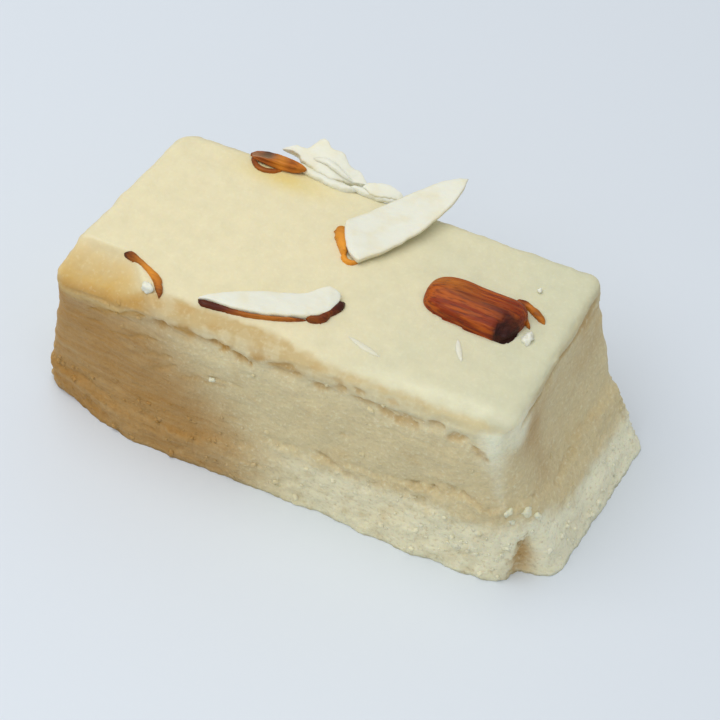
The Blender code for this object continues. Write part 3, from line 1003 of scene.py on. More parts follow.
@dataclass(frozen=True)
class Tears:
    """The narrow tears: those of the near side, and stray ones on the other sides."""

    placed: tuple[Tear, ...] = UPPER_TEARS + RIM_TEARS + LOWER_TEARS
    waver: float = 0.7
    waver_size: float = 1.9 * MM
    waver_seed: float = 13.0
    gap_size: float = 1.3 * MM
    gap_seed: float = 19.0
    gap_share: float = 0.45
    near_facing: float = -0.1
    top_facing: float = 0.6
    stray_depth: float = 0.4 * MM
    stray_size: float = 1.7 * MM
    stray_squeeze: float = 0.2
    stray_seed: float = 27.0
    crust_level: Pair = (2.8 * MM, 1.5 * MM)
    ledge_rise: float = 0.6 * MM
    ledge_reach: float = 1.1 * MM

    def at(self, spot: Spot, band: Band) -> Pair:
        """Find how torn a spot is.

        Args:
            spot: The spot.
            band: The crumbly band, over whose edge the stray tears gather.

        Returns:
            How deep the tears are there, in metres, and how far the spot is inside one.
        """
        point = spot.point
        broken = mix(self.gap_share, 1.0, ramp(-0.5, 0.4, rough(point, self.gap_size, self.gap_seed)))
        if spot.facing.y < self.near_facing and point.y < 0.0:
            fall = spot.fall + self.waver * crumbled(point, self.waver_size, self.waver_seed, 3)
            shares = [(tear.share(point.x / MM, fall), tear.depth) for tear in self.placed]
            deepest = max(share * depth for share, depth in shares)
            return deepest * broken * MM, max(share for share, _ in shares) * broken
        if spot.facing.z > self.top_facing:
            return 0.0, 0.0
        level = Vector((point.x * self.stray_squeeze, point.y * self.stray_squeeze, point.z))
        where = hump(spot.depth, *self.crust_level) + 0.15
        where += 0.8 * hump(point.z, band.top(point) + self.ledge_rise, self.ledge_reach)
        share = ramp(0.22, 0.5, rough(level, self.stray_size, self.stray_seed)) * min(1.0, where) * broken
        return self.stray_depth * share, share


@dataclass(frozen=True)
class Grain:
    """The fine relief of the cut sides and of the smooth top."""

    side: float = 0.16 * MM
    side_size: float = 2.4 * MM
    side_seed: float = 14.0
    rip: float = 0.22 * MM
    rip_squeeze: float = 0.16
    rip_end: Pair = (2.0 * MM, -20.0 * MM)
    rip_sizes: Pair = (1.5 * MM, 1.1 * MM)
    rip_seeds: Pair = (15.0, 16.0)
    top: float = 0.035 * MM
    top_size: float = 1.4 * MM
    top_seed: float = 17.0
    edge: float = 0.16 * MM
    edge_size: float = 3.2 * MM
    edge_seed: float = 18.0

    def stands(self, point: Vector, on_side: float) -> float:
        """Return how far the surface stands out for its grain.

        Args:
            point: The point, without fine relief.
            on_side: 1 on a side, 0 on the top.

        Returns:
            The distance, below zero where it lies back.
        """
        sides = self.side * crumbled(point, self.side_size, self.side_seed)
        torn = Vector((point.x * self.rip_squeeze, point.y * self.rip_squeeze, point.z))
        wide, narrow = (rough(torn, size, seed) for size, seed in zip(self.rip_sizes, self.rip_seeds))
        rips = ramp(0.12, 0.42, wide) * ramp(*self.rip_end, point.x)
        sides -= self.rip * (0.25 + rips) * ramp(0.15, 0.45, narrow)
        top = self.top * crumbled(point, self.top_size, self.top_seed)
        rounding = on_side * (1.0 - on_side) * 4.0
        edge = self.edge * rounding * crumbled(point, self.edge_size, self.edge_seed, 3)
        return mix(top, sides, on_side) + edge


@dataclass(frozen=True)
class Tones:
    """Where the bar's colours change, among them painted light and shade.

    Lengths are in millimetres. A pair is where a change begins and where it is complete, or, in a
    field whose name ends in spot, the middle of a patch and its reach.
    """

    uneven_fall: float = 0.7
    uneven_level: float = 1.2
    uneven_brown: float = 1.5
    uneven_wrap: float = 2.0
    upper_rim: Pair = (0.3, 1.6)
    lower_rim: Pair = (2.0, 3.6)

    # Painted highlight on the near right corner's ridge and nose and along the near edge, and painted light
    # at the feet of the right end and the near corner.
    ridge_turns: Pair = (44.0, 34.0)
    ridge_spreads: Pair = (5.0, 27.0)
    ridge_widens: Pair = (16.0, 34.0)
    ridge_foot: Pair = (12.0, 20.0)
    ridge_highlight_strengths: Pair = (0.36, 1.0)
    ridge_brightens: Pair = (22.0, 31.0)
    nose_place: Triple = (28.0, -12.0, 31.5)
    nose_away: Pair = (6.5, 1.5)
    nose_highlight_strength: float = 0.8
    edge_highlight_spot: Pair = (-3.9, 1.8)
    edge_highlight_along: Pair = (2.0, 12.0)
    edge_highlight_strength: float = 0.3
    foot_light_along: Pair = (12.0, 20.0)
    foot_light_strengths: Pair = (0.8, 0.25)

    # Where the brown at the left of the near side lies: partly its own brown, partly painted shadow that
    # reaches further along towards the foot.
    brown_lines: Pair = (-23.5, -11.0)
    brown_leans: Pair = (27.0, 9.0)
    brown_half_fade: float = 10.0
    brown_strength: float = 0.92
    brown_wrap: Pair = (5.0, -15.0)
    brown_wrap_facing: Pair = (-0.2, -0.9)
    stray_brown: float = 0.4
    stray_brown_size: float = 15.0
    stray_brown_seed: float = 28.0
    # Painted shade on the right end, beside the near corner's ridge.
    end_shade: float = 0.3
    end_shade_lines: Pair = (-4.0, -8.0)
    end_shade_reach: float = 2.6
    end_shade_up: Pair = (12.0, 16.0)

    # Where the crust's tan shows: partly its own tan, partly painted shade on the rolled-over near edge, and
    # painted shadow under the top's edge at half strength on the far half.
    crust_lines: Pair = (-4.4, -1.7)
    crust_leans: Pair = (-13.0, 6.0)
    crust_fades: Pair = (-0.6, 1.5)
    crust_base: Pair = (4.0, 2.0)
    crust_left: Pair = (-33.0, -27.0)
    far_crust_shadow: float = 0.5

    crumbly_top: float = 11.5
    crumbly_fade: Pair = (2.2, -1.8)
    crumbly_near: Pair = (-13.0, 4.0)
    end_lower: float = 4.5
    end_across: Pair = (-12.0, -3.0)
    hidden_strength: float = 0.55

    mark_strength: float = 1.5
    mark_power: float = 0.8
    mark_rim: Pair = (0.3, 1.8)
    mark_deep: Pair = (6.5, 9.0)
    mark_right: Pair = (-12.0, 0.0)
    crack_core: float = 0.55
    crack_strength: float = 0.35
    foot_crack_strength: float = 0.85
    lip_down: Pair = (2.4, 0.8)
    lip_along: Pair = (-22.0, -30.0)
    lip_across: Pair = (-13.2, -14.5)
    gold_along: Pair = (-23.5, -30.0)
    gold_down: Pair = (5.0, 3.0)
    stain_strength: float = 0.95
    stain_along_spot: Pair = (-17.5, 6.0)
    stain_across_spot: Pair = (13.6, 2.1)

    def ridge(self, spot: Spot, height: float) -> float:
        """Return how far a spot lies on the pale ridge of the near right corner: a painted highlight where
        the rounded corner catches the light.

        Args:
            spot: The spot.
            height: The bar's height.

        Returns:
            The share, from 0 to 1.
        """
        z = spot.place.z
        turn = math.degrees(math.atan2(spot.facing.x, -spot.facing.y))
        spread = mix(*self.ridge_spreads, ramp(*self.ridge_widens, z))
        ridge = hump(turn, mix(*self.ridge_turns, z * MM / height), spread) * ramp(*self.ridge_foot, z)
        return ridge * mix(*self.ridge_highlight_strengths, ramp(*self.ridge_brightens, z)) * spot.on_side

    def brown(self, spot: Spot, height: float) -> float:
        """Return how brown a spot is: partly its own brown, partly painted shadow at the left of the near
        side, growing towards the foot.

        Args:
            spot: The spot.
            height: The bar's height.

        Returns:
            The share, from 0 to a little over 1.
        """
        x, y, z = spot.place
        first, last = self.brown_leans
        lean = min(1.0, max(0.0, (z - first) / (last - first)))
        line = mix(*self.brown_lines, lean) + self.uneven_brown * spot.uneven
        left = self.brown_strength * ramp(line + self.brown_half_fade, line - self.brown_half_fade, x)
        start, full = self.brown_wrap
        wrap = ramp(start + self.uneven_wrap * spot.uneven, full, y)
        wrap = max(spot.near, wrap * ramp(*self.brown_wrap_facing, spot.facing.x))
        stray = rough(spot.point, self.stray_brown_size * MM, self.stray_brown_seed)
        # Painted shade: a darker patch on the right end beside the ridge.
        patch = hump(y, mix(*self.end_shade_lines, z * MM / height), self.end_shade_reach)
        patch *= self.end_shade * ramp(*self.end_shade_up, z) * spot.end
        return mix(self.stray_brown * ramp(0.0, 0.5, stray), left, wrap) + patch

    def crust(self, spot: Spot, fall: float) -> float:
        """Return how far the crust's tan shows at a spot: partly its own tan, partly painted shade and shadow
        under the top's edge.

        Args:
            spot: The spot.
            fall: How far down it looks, in millimetres.

        Returns:
            The share, from 0 to 1.
        """
        x, y, _ = spot.place
        line = mix(*self.crust_lines, ramp(*self.crust_leans, x))
        first, last = (line + fade for fade in self.crust_fades)
        crust = ramp(first, last, fall) * ramp(*self.crust_base, fall) * ramp(*self.crust_left, x)
        return crust * (1.0 if y < 0.0 else self.far_crust_shadow * spot.on_side)

    def crumbly(self, spot: Spot, band: Band) -> float:
        """Return how far a spot has the pale colour of the crumbly band.

        Args:
            spot: The spot.
            band: The crumbly band.

        Returns:
            The share, from 0 to 1.
        """
        x, y, z = spot.place
        level = min(self.crumbly_top, band.top(spot.point) / MM) + self.uneven_level * spot.uneven
        level -= self.end_lower * spot.end * ramp(*self.end_across, y)
        hidden = mix(self.hidden_strength, 1.0, spot.end)
        strength = mix(hidden, ramp(*self.crumbly_near, x), spot.near)
        return ramp(*self.crumbly_fade, z - level) * strength * spot.on_side

    def mark(self, spot: Spot, torn: float, fall: float) -> float:
        """Return how dark the tears are at a spot: their own orange-brown and painted shade inside them.

        Args:
            spot: The spot.
            torn: How far it lies in a narrow tear.
            fall: How far down it looks, in millimetres.

        Returns:
            The share, from 0 to 1.
        """
        mark = min(1.0, self.mark_strength * torn ** self.mark_power)
        mark *= mix(0.4, 1.0, ramp(*self.mark_rim, fall))
        mark *= mix(1.0, 0.3, ramp(*self.mark_deep, spot.depth / MM))
        return mark * mix(1.0, 0.6, ramp(*self.mark_right, spot.place.x))

    def at(self, spot: Spot, torn: float, bar: "FudgeBar") -> dict[Mask, float]:
        """Return what is known about a spot.

        Args:
            spot: The spot.
            torn: How far it lies in a narrow tear.
            bar: The bar.

        Returns:
            A value from 0 to 1 for each mask.
        """
        x, y, _ = spot.place
        depth, on_top = spot.depth / MM, 1.0 - spot.on_side
        above = max(spot.near, on_top) if y < 0.0 else 0.0
        fall = mix(depth, spot.fall, above) + self.uneven_fall * spot.uneven
        below = 0.5 * ramp(*self.upper_rim, depth) + 0.5 * ramp(*self.lower_rim, depth)
        ridge, crumbly = self.ridge(spot, bar.block.height), self.crumbly(spot, bar.band)
        wide = bar.crust.crack_share(spot, self.crack_core * bar.crust.crack_reach) * spot.on_side
        lip = ramp(*self.lip_down, depth) * ramp(*self.lip_along, x) * ramp(*self.lip_across, y)
        gold = bar.worn.inside(spot.point) ** 0.5 * ramp(*self.gold_along, x) * ramp(*self.gold_down, depth)
        # Painted highlight along the top's near edge and on the fallen corner, and painted light at the feet
        # of the right end and the near corner.
        edge = self.edge_highlight_strength * hump(fall, *self.edge_highlight_spot) * ramp(*self.edge_highlight_along, x) * on_top
        away = (spot.place - Vector(self.nose_place)).length
        nose = self.nose_highlight_strength * ramp(*self.nose_away, away) * spot.on_side
        end_low, near_low = self.foot_light_strengths
        low = crumbly * max(end_low * spot.end, near_low * ramp(*self.foot_light_along, x) * spot.near)
        stain = hump(x, *self.stain_along_spot) * hump(y, *self.stain_across_spot) * on_top
        dark = (self.mark(spot, torn, fall), self.crack_strength * wide,
                self.foot_crack_strength * bar.crack.share(spot.point), lip)
        brown = self.brown(spot, bar.block.height) * mix(0.25, 1.0, below) * spot.on_side
        return {
            Mask.SIDE: spot.on_side * below,
            Mask.CRUMBLY: crumbly,
            Mask.CAVITY_TONE_AND_SHADE: min(1.0, max(dark)),
            Mask.WORN: gold * mix(1.0, 0.5, spot.on_side),
            Mask.BROWN_AND_SHADOW: min(1.0, brown),
            Mask.STAINED: self.stain_strength * stain,
            Mask.CRUST_AND_SHADE: self.crust(spot, fall) * (1.0 - ridge),
            Mask.PALE_CRUMB_AND_HIGHLIGHT: max(ridge, edge, low, nose),
        }


@dataclass(frozen=True)
class Nut:
    """A broken piece of almond with its skin on; places and sizes are in millimetres."""

    place: Pair
    half_length: float
    half_width: float
    rise: float
    sink: float
    turn: float
    blunt: Pair
    narrowing: float
    ridges: int
    ridge: float = 0.12
    ridge_turn: float = 0.8
    fibre: Pair = (1.4, 5.0)
    side_wave: float = 0.3
    top_wave: float = 0.25
    wave_size: float = 5.5
    side_seed: float = 11.0
    top_seed: float = 12.0

    def power(self, side: float) -> float:
        """Return how blunt the end is on that side of the middle."""
        return self.blunt[0] if side < 0.0 else self.blunt[1]

    def local(self, place: Vector) -> Vector:
        """See a place on the top as it lies along and across the piece.

        Args:
            place: The place.

        Returns:
            How far along and across it is from the piece's middle, in metres.
        """
        away = place.xy - place_of(self.place)
        angle = -math.radians(self.turn)
        return Vector((away.x * math.cos(angle) - away.y * math.sin(angle),
                       away.x * math.sin(angle) + away.y * math.cos(angle)))

    def bed_depth(self, place: Vector, margin: float) -> float:
        """Find how deep its underside lies below its widest level.

        Args:
            place: The place on the top.
            margin: How far inside the outline the bed begins, in metres.

        Returns:
            The depth, or 0 outside the bed.
        """
        along, across = self.local(place)
        reach = along / (self.half_length * MM - margin)
        if abs(reach) >= 1.0:
            return 0.0
        power = self.power(reach)
        pole = abs(reach) ** (1.0 / power)
        girth = math.sqrt(1.0 - pole * pole) ** power * (1.0 + self.narrowing * reach)
        half_width = girth * self.half_width * MM - margin
        if half_width <= 0.0 or abs(across) >= half_width:
            return 0.0
        return girth * self.sink * MM * math.sqrt(1.0 - (across / half_width) ** 2)

    def distance(self, place: Vector) -> float:
        """Return roughly how far outside the piece a place is, in metres."""
        along, across = self.local(place) / MM
        return (math.hypot(along / self.half_length, across / self.half_width) - 1.0) * self.half_width * MM


ALMOND = Nut((15.5, 2.2), 7.3, 3.7, 3.4, 1.2, -4.0, (0.6, 0.45), 0.06, 7)
CHIP = Nut((-19.2, 15.4), 4.2, 0.95, 1.1, 0.4, 3.0, (0.85, 1.1), 0.15, 5)


@dataclass
class FudgeBar:
    """The bar: a long block with a smooth top and crumbly cut sides."""

    segments: tuple[int, int, int] = (240, 96, 100)
    edge_crowding: float = 0.3
    top_wave: float = 0.22 * MM
    top_wave_size: float = 13.0 * MM
    top_wave_seed: float = 7.0
    side_from: Pair = (0.55, 0.95)
    near_from: Pair = (-0.1, -0.8)
    uneven_size: float = 2.6 * MM
    uneven_seed: float = 35.0
    near_mark: float = -16.0
    view_slope: float = 1.4
    lowered_from: float = 0.55
    underside_facing: float = -0.5
    top_facing: float = 0.9
    bed_margin: float = 0.35 * MM
    bed_gap: float = 0.12 * MM
    rim_rise: float = 0.28 * MM
    rim_reach: float = 1.1 * MM

    block: Block = Block()
    worn: WornCorner = WornCorner()
    soft_edge: SoftEdge = SoftEdge()
    crust: Crust = Crust()
    band: Band = Band()
    sides: SideShape = SideShape()
    crack: CornerCrack = CornerCrack()
    tears: Tears = Tears()
    grain: Grain = Grain()
    tones: Tones = Tones()

    def top_height(self, place: Vector) -> float:
        """Find the height of the top's surface.

        Args:
            place: The place on the top.

        Returns:
            The height, in metres.
        """
        height = self.block.height
        level = Vector((place.x, place.y, height))
        wave = self.top_wave * rough(level, self.top_wave_size, self.top_wave_seed)
        lowered = self.worn.drop(place, height) + self.soft_edge.rolled(place) + self.soft_edge.fallen(place)
        return height + wave - lowered

    def bed_level(self) -> float:
        """Return the height at which the almond's widest level lies."""
        return self.block.height + 0.5 * self.top_wave

    def bed(self, point: Vector) -> float:
        """Find the height of the top where the almond is pressed into it, and round it.

        Args:
            point: The point of the top, without the bed.

        Returns:
            The height, in metres.
        """
        depth = ALMOND.bed_depth(point, self.bed_margin)
        if depth > 0.0:
            return min(point.z, self.bed_level() - depth - self.bed_gap)
        return point.z + self.rim_rise * hump(ALMOND.distance(point), 0.0, self.rim_reach)

    def crowd(self, share: float) -> float:
        """Move evenly spaced shares closer together towards their ends."""
        return share + self.edge_crowding * math.sin(math.pi * share) / math.pi

    def spot_at(self, cage: Vector) -> Spot:
        """Find the spot of the bar for a point of the box that it is made from.

        Args:
            cage: The point, from -1 to 1 along each axis.

        Returns:
            The spot.
        """
        up = self.crowd(0.5 * (cage.z + 1.0))
        point, facing = self.block.surface(self.crowd(cage.x), self.crowd(cage.y), up)
        place = point / MM
        return Spot(
            point, place, facing,
            near=ramp(*self.near_from, facing.y),
            end=max(0.0, facing.x),
            on_side=1.0 - ramp(*self.side_from, facing.z),
            uneven=crumbled(point, self.uneven_size, self.uneven_seed, 3),
            depth=self.block.height - point.z,
            fall=self.block.height / MM - place.z - self.view_slope * max(0.0, place.y - self.near_mark),
        )

    def moved(self, spot: Spot, torn: float) -> Vector:
        """Give a spot its relief and the top's own form.

        Args:
            spot: The spot.
            torn: How deep the narrow tears are there, in metres.

        Returns:
            The point, still without its fine grain.
        """
        height = self.block.height
        stands = self.sides.stands(spot) + self.band.stands(spot.point) + self.crust.stands(spot)
        stands -= self.crack.depth * self.crack.share(spot.point) + torn
        point = spot.point + Vector((spot.facing.x, spot.facing.y, 0.0)) * stands * spot.on_side
        upper = ramp(self.lowered_from * height, height, point.z)
        point.z += (self.top_height(point) - height) * upper
        return point

    def build(self, finishes: Finishes) -> bpy.types.Object:
        """Make the bar from a box cut into rows, each point moved to its place.

        Args:
            finishes: The materials.

        Returns:
            The piece.
        """
        shape = Shape(FUDGE_MASKS)
        shape.add_box(self.segments)
        spots = []
        for vert in shape.mesh.verts:
            spot = self.spot_at(vert.co)
            deep, torn = self.tears.at(spot, self.band)
            shape.note(vert, self.tones.at(spot, torn, self))
            vert.co = self.moved(spot, deep)
            spots.append(spot)
        shape.mesh.normal_update()
        normals = [vert.normal.copy() for vert in shape.mesh.verts]
        for vert, normal, spot in zip(shape.mesh.verts, normals, spots):
            if spot.facing.z < self.underside_facing:
                continue
            if vert.co.z < ON_FLOOR:
                normal.z = 0.0
            vert.co += normal * self.grain.stands(vert.co, spot.on_side)
            if spot.facing.z > self.top_facing:
                vert.co.z = self.bed(vert.co)
        underside = [face for face in shape.mesh.faces if max(vert.co.z for vert in face.verts) < ON_FLOOR]
        bmesh.ops.dissolve_faces(shape.mesh, faces=underside, use_verts=True)
        return shape.finish("fudge_bar", finishes, Slot.FUDGE, "barfi_bar")


@dataclass
class BrokenAlmond:
    """A broken piece of almond, made from a ball whose poles are the piece's two ends."""

    name: str
    node: str
    form: Nut
    rings: tuple[int, int]
    wrinkle: float
    under: float

    def widest_level(self, bar: FudgeBar) -> float:
        """Return how high its widest level lies on the bar."""
        raise NotImplementedError

    def detail(self, point: Vector, angle: float) -> dict[Mask, float]:
        """Move a point for the piece's own detail, and return what is known about it."""
        raise NotImplementedError

    def surface(self, end: float, angle: float, around: float) -> Vector:
        """Find a point of the piece, without its own detail.

        Args:
            end: How far the ball's point is from its middle towards a pole.
            angle: Its angle round the line through the poles.
            around: Its distance from that line.

        Returns:
            The point, as it lies from the piece's middle.
        """
        form = self.form
        power = form.power(end)
        reach = signed_power(end, power)
        girth = around ** power * (1.0 + form.narrowing * reach)
        along, across = form.fibre
        fibre = Vector((along * reach, across * math.cos(angle), across * math.sin(angle)))
        ridge = form.ridge * MM * math.cos(form.ridges * angle + form.ridge_turn)
        ridge = (ridge + self.wrinkle * noise.fractal(fibre, 0.8, 2.1, 4)) * around
        upper = max(0.0, math.sin(angle))
        depth = form.rise if upper > 0.0 else form.sink + self.under
        x = reach * form.half_length * MM
        y = math.cos(angle) * (girth * form.half_width * MM + ridge)
        z = math.sin(angle) * (girth * depth * MM + ridge)
        flat = Vector((x, y, 0.0))
        y += form.side_wave * MM * rough(flat, form.wave_size * MM, form.side_seed)
        z += form.top_wave * MM * rough(flat, form.wave_size * MM, form.top_seed) * upper
        return Vector((x, y, z))

    def build(self, bar: FudgeBar, finishes: Finishes) -> bpy.types.Object:
        """Make it on the bar.

        Args:
            bar: The bar that it lies on.
            finishes: The materials.

        Returns:
            The piece.
        """
        shape = Shape(SKIN_MASKS)
        for vert, angle, around, _ in shape.add_ball(self.rings):
            point = self.surface(vert.co.z, angle, around)
            shape.note(vert, self.detail(point, angle))
            vert.co = point
        shape.merge(NUT_TIP_GAP)
        place = (*place_of(self.form.place), self.widest_level(bar))
        turned = Matrix.Translation(place) @ Matrix.Rotation(math.radians(self.form.turn), 4, "Z")
        bmesh.ops.transform(shape.mesh, matrix=turned, verts=shape.mesh.verts)
        return shape.finish(self.name, finishes, Slot.SKIN, self.node)


@dataclass
class AlmondKernel(BrokenAlmond):
    """The piece of almond that is pressed into the top, broken at its near right end, whose hollow is painted
    near black: painted shadow over the end's own dark.

    Of a pair, bite_along, bite_across and lit_across give a patch's middle and its reach in
    millimetres. The other ones say where a change begins and where it is complete, bite_up by
    the sine of the angle round the nut. The groove's line is given by where it crosses the
    middle, and by how far it leans.
    """

    name: str = "almond_kernel"
    node: str = "almond_piece"
    form: Nut = ALMOND
    rings: tuple[int, int] = (128, 110)
    wrinkle: float = 0.10 * MM
    under: float = 0.0
    # The broken end's near black is partly painted shadow in its hollow.
    bite_along: Pair = (6.5, 1.9)
    bite_across: Pair = (-2.8, 2.0)
    bite_up: Pair = (-0.5, 0.2)
    bite_depth: float = 1.5 * MM
    bite_dark_and_shadow: float = 1.7
    crumble: float = 0.35
    crumble_size: float = 1.3 * MM
    crumble_seed: float = 31.0
    groove_line: Pair = (-0.5, -0.05)
    groove_reach: float = 0.55
    groove_along: Pair = (-5.5, -1.0)
    groove_dark: float = 0.5
    # Painted highlight along the lit top of the kernel.
    lit_across: Pair = (1.2, 1.6)
    lit_along: Pair = (3.0, -5.0)
    lit_strength: float = 0.3

    def widest_level(self, bar: FudgeBar) -> float:
        """Return how high its widest level lies on the bar."""
        return bar.bed_level()

    def detail(self, point: Vector, angle: float) -> dict[Mask, float]:
        """Break off the near right end, and paint its hollow near black as shadow over its own dark.

        Args:
            point: The point, which is moved.
            angle: Its angle round the line through the ends.

        Returns:
            What is known about it.
        """
        x, y, _ = point / MM
        bite = hump(x, *self.bite_along) * hump(y, *self.bite_across)
        bite *= ramp(*self.bite_up, math.sin(angle))
        crossing, lean = self.groove_line
        groove = hump(y, crossing + lean * x, self.groove_reach) * ramp(*self.groove_along, x)
        torn = 1.0 + self.crumble * crumbled(point, self.crumble_size, self.crumble_seed, 3)
        point.x -= self.bite_depth * bite * torn
        point.z -= 0.5 * self.bite_depth * bite * torn
        return {
            Mask.DARK_AND_SHADOW: min(1.0, self.bite_dark_and_shadow * bite + self.groove_dark * groove),
            Mask.BARE: 0.0,
            Mask.AMBER_AND_HIGHLIGHT: self.lit_strength * hump(y, *self.lit_across) * ramp(*self.lit_along, x),
        }


@dataclass
class AlmondChip(BrokenAlmond):
    """The small chip at the back, like a claw: skin round a strip of bare flesh.

    Of a pair in millimetres, strip_across, spot_along and lit_middle give a patch's middle and
    its reach, and the other ones where a change begins and where it is complete.
    """

    name: str = "almond_claw"
    node: str = "almond_chip"
    form: Nut = CHIP
    rings: tuple[int, int] = (64, 56)
    wrinkle: float = 0.0
    under: float = 0.5
    clearance: float = 0.35 * MM
    groove: float = 0.75 * MM
    crumb: float = 0.08 * MM
    crumb_size: float = 0.9 * MM
    crumb_seed: float = 33.0
    strip_across: Pair = (-0.1, 0.36)
    strip_along: Pair = (0.2, -2.0)
    strip_bare: float = 0.4
    spot_along: Pair = (-1.6, 1.0)
    spot_across: Pair = (-0.5, 0.3)
    end_along: Pair = (0.5, -3.0)
    dark_strengths: Pair = (0.9, 0.25)
    # Painted highlight where the chip is lit.
    lit_middle: Pair = (0.5, 1.3)
    lit_end: Pair = (1.5, 3.5)
    lit_strengths: Triple = (0.15, 0.4, 0.3)

    def widest_level(self, bar: FudgeBar) -> float:
        """Return how high its widest level lies on the bar."""
        return bar.top_height(place_of(self.form.place)) + self.clearance + self.form.sink * MM

    def detail(self, point: Vector, angle: float) -> dict[Mask, float]:
        """Open the strip of bare flesh.

        Args:
            point: The point, which is moved.
            angle: Its angle round the line through the ends.

        Returns:
            What is known about it.
        """
        x, y, _ = point / MM
        opened = hump(y, *self.strip_across) * ramp(*self.strip_along, x) * max(0.0, math.sin(angle))
        point.z -= self.groove * opened
        point.z += self.crumb * crumbled(point, self.crumb_size, self.crumb_seed, 3)
        spot = hump(x, *self.spot_along) * ramp(*self.spot_across, y)
        spot_dark, end_dark = self.dark_strengths
        lit_all, lit_middle, lit_end = self.lit_strengths
        return {
            Mask.DARK_AND_SHADOW: min(1.0, spot_dark * spot + end_dark * ramp(*self.end_along, x)),
            Mask.BARE: self.strip_bare * opened,
            Mask.AMBER_AND_HIGHLIGHT: lit_all + lit_middle * hump(x, *self.lit_middle) + lit_end * ramp(*self.lit_end, x),
        }


@dataclass
class AlmondSlice:
    """A thin slice of almond that lies on the top; places and sizes are in millimetres.

    Its two edges are given beside the line from start to end, and so is how far each of them
    rises off the bar, by values that are spaced evenly along the line.
    """

    name: str
    node: str
    start: Pair
    end: Pair
    low_edge: tuple[float, ...]
    high_edge: tuple[float, ...]
    low_rise: tuple[float, ...]
    high_rise: tuple[float, ...]
    slant: float = 0.0
    rings: tuple[int, int] = (40, 90)
    thickness: float = 1.1
    clearance: float = 0.35
    settle: float = 0.5
    raggedness: float = 0.12
    ragged_size: float = 1.8
    wave: float = 0.06
    wave_size: float = 2.5
    blunt: float = 3.0
    edge_power: float = 0.55
    face_power: float = 0.5
    settled: Pair = (0.9, 0.0)
    bare_edge: Pair = (0.85, 1.0)
    seed: float = 41.0

    def low_place(self, share: float, outward: float) -> Pair:
        """Find a place outside the low edge.

        Args:
            share: How far it is from start to end.
            outward: How far outside the edge it is, in millimetres.

        Returns:
            The place.
        """
        start, end = Vector(self.start), Vector(self.end)
        line = (end - start).normalized()
        away = curve_value(self.low_edge, share) - outward
        place = start.lerp(end, share) + Vector((-line.y, line.x)) * away
        return place.x, place.y

    def build(self, bar: FudgeBar, finishes: Finishes) -> bpy.types.Object:
        """Make it on the bar from a ball, whose poles are the slice's two tips.

        Args:
            bar: The bar that it lies on.
            finishes: The materials.

        Returns:
            The piece.
        """
        shape = Shape((Mask.BARE,))
        start, end = place_of(self.start), place_of(self.end)
        line = (end - start).normalized()
        side = Vector((-line.y, line.x))
        for vert, angle, around, share in shape.add_ball(self.rings):
            flat = signed_power(math.cos(angle), self.edge_power)
            level = signed_power(math.sin(angle), self.face_power)
            full = min(1.0, around * self.blunt) ** 0.5
            over = 0.5 + 0.5 * flat * full
            beside = mix(curve_value(self.low_edge, share), curve_value(self.high_edge, share), over)
            rise = mix(curve_value(self.low_rise, share), curve_value(self.high_rise, share), over)
            shift = self.slant * (over - 0.5) * (1.0 - share) ** 2
            place = start.lerp(end, share) + (side * beside + line * shift) * MM
            spot = Vector((place.x, place.y, 0.0))
            ragged = self.raggedness * crumbled(spot, self.ragged_size * MM, self.seed, 3)
            place += side * ragged * abs(flat) ** 6 * full * MM
            height = bar.top_height(Vector((place.x, min(place.y, bar.block.half_width))))
            middle = self.clearance + rise + 0.5 * self.thickness
            half = 0.5 * self.thickness * level * full
            if level < 0.0:
                half -= self.settle * ramp(*self.settled, rise) * full
            wave = self.wave * rough(spot, self.wave_size * MM, self.seed)
            vert.co = Vector((place.x, place.y, height + (middle + half + wave) * MM))
            shape.note(vert, {Mask.BARE: ramp(*self.bare_edge, abs(flat) * full)})
        shape.merge(THIN_TIP_GAP)
        return shape.finish(self.name, finishes, Slot.FLESH, self.node)


HALF_MOON = AlmondSlice(
    "half_moon", "half_moon_slice", (-20.4, -12.2), (-1.9, -4.7),
    (-0.2, -0.8, -1.7, -2.25, -2.5, -2.6, -2.55, -2.1, -0.8),
    (0.2, 0.6, 1.0, 1.2, 1.25, 1.2, 1.3, 2.3, 2.7),
    (0.0, 0.0, 0.05, 0.1, 0.1, 0.1, 0.05, 0.05, 0.1),
    (0.0, 0.1, 0.2, 0.3, 0.3, 0.3, 0.3, 0.5, 0.7),
    thickness=0.9, clearance=0.12, blunt=4.0)
SLICES = (
    HALF_MOON,
    AlmondSlice("pointed_flake", "pointed_slice", (-5.4, 5.5), (7.3, 21.5),
                (-3.8, -4.3, -4.4, -4.1, -3.4, -2.3, -0.15), (3.3, 3.1, 2.9, 2.7, 2.35, 1.75, 0.15),
                (0.3, 0.45, 0.75, 1.2, 1.75, 2.4, 3.0), (0.0, 0.15, 0.5, 0.95, 1.5, 2.2, 3.0),
                slant=2.6, thickness=0.95, blunt=6.0),
    AlmondSlice("back_flake_long", "back_slice_long", (-19.6, 17.9), (-6.0, 16.9),
                (-0.2, 0.1, -0.5, -1.1, -1.6, -1.6, -1.0, -0.6, -0.2),
                (0.25, 1.1, 1.1, 3.1, 2.3, 2.5, 1.2, 1.3, 0.2),
                (0.1, 0.2, 0.2, 0.1, 0.0, 0.0, 0.0, 0.0, 0.0),
                (0.3, 0.7, 1.0, 2.2, 1.9, 1.8, 0.9, 0.6, 0.2),
                thickness=0.6, raggedness=0.45),
    AlmondSlice("back_flake_short", "back_slice_short", (-6.6, 16.3), (-0.5, 17.0),
                (-0.3, -0.8, -0.9, -0.7, -0.3), (0.3, 0.8, 1.1, 0.9, 0.2),
                (0.0, 0.0, 0.0, 0.0, 0.0), (0.3, 0.6, 0.7, 0.6, 0.2),
                thickness=0.6, raggedness=0.5),
)


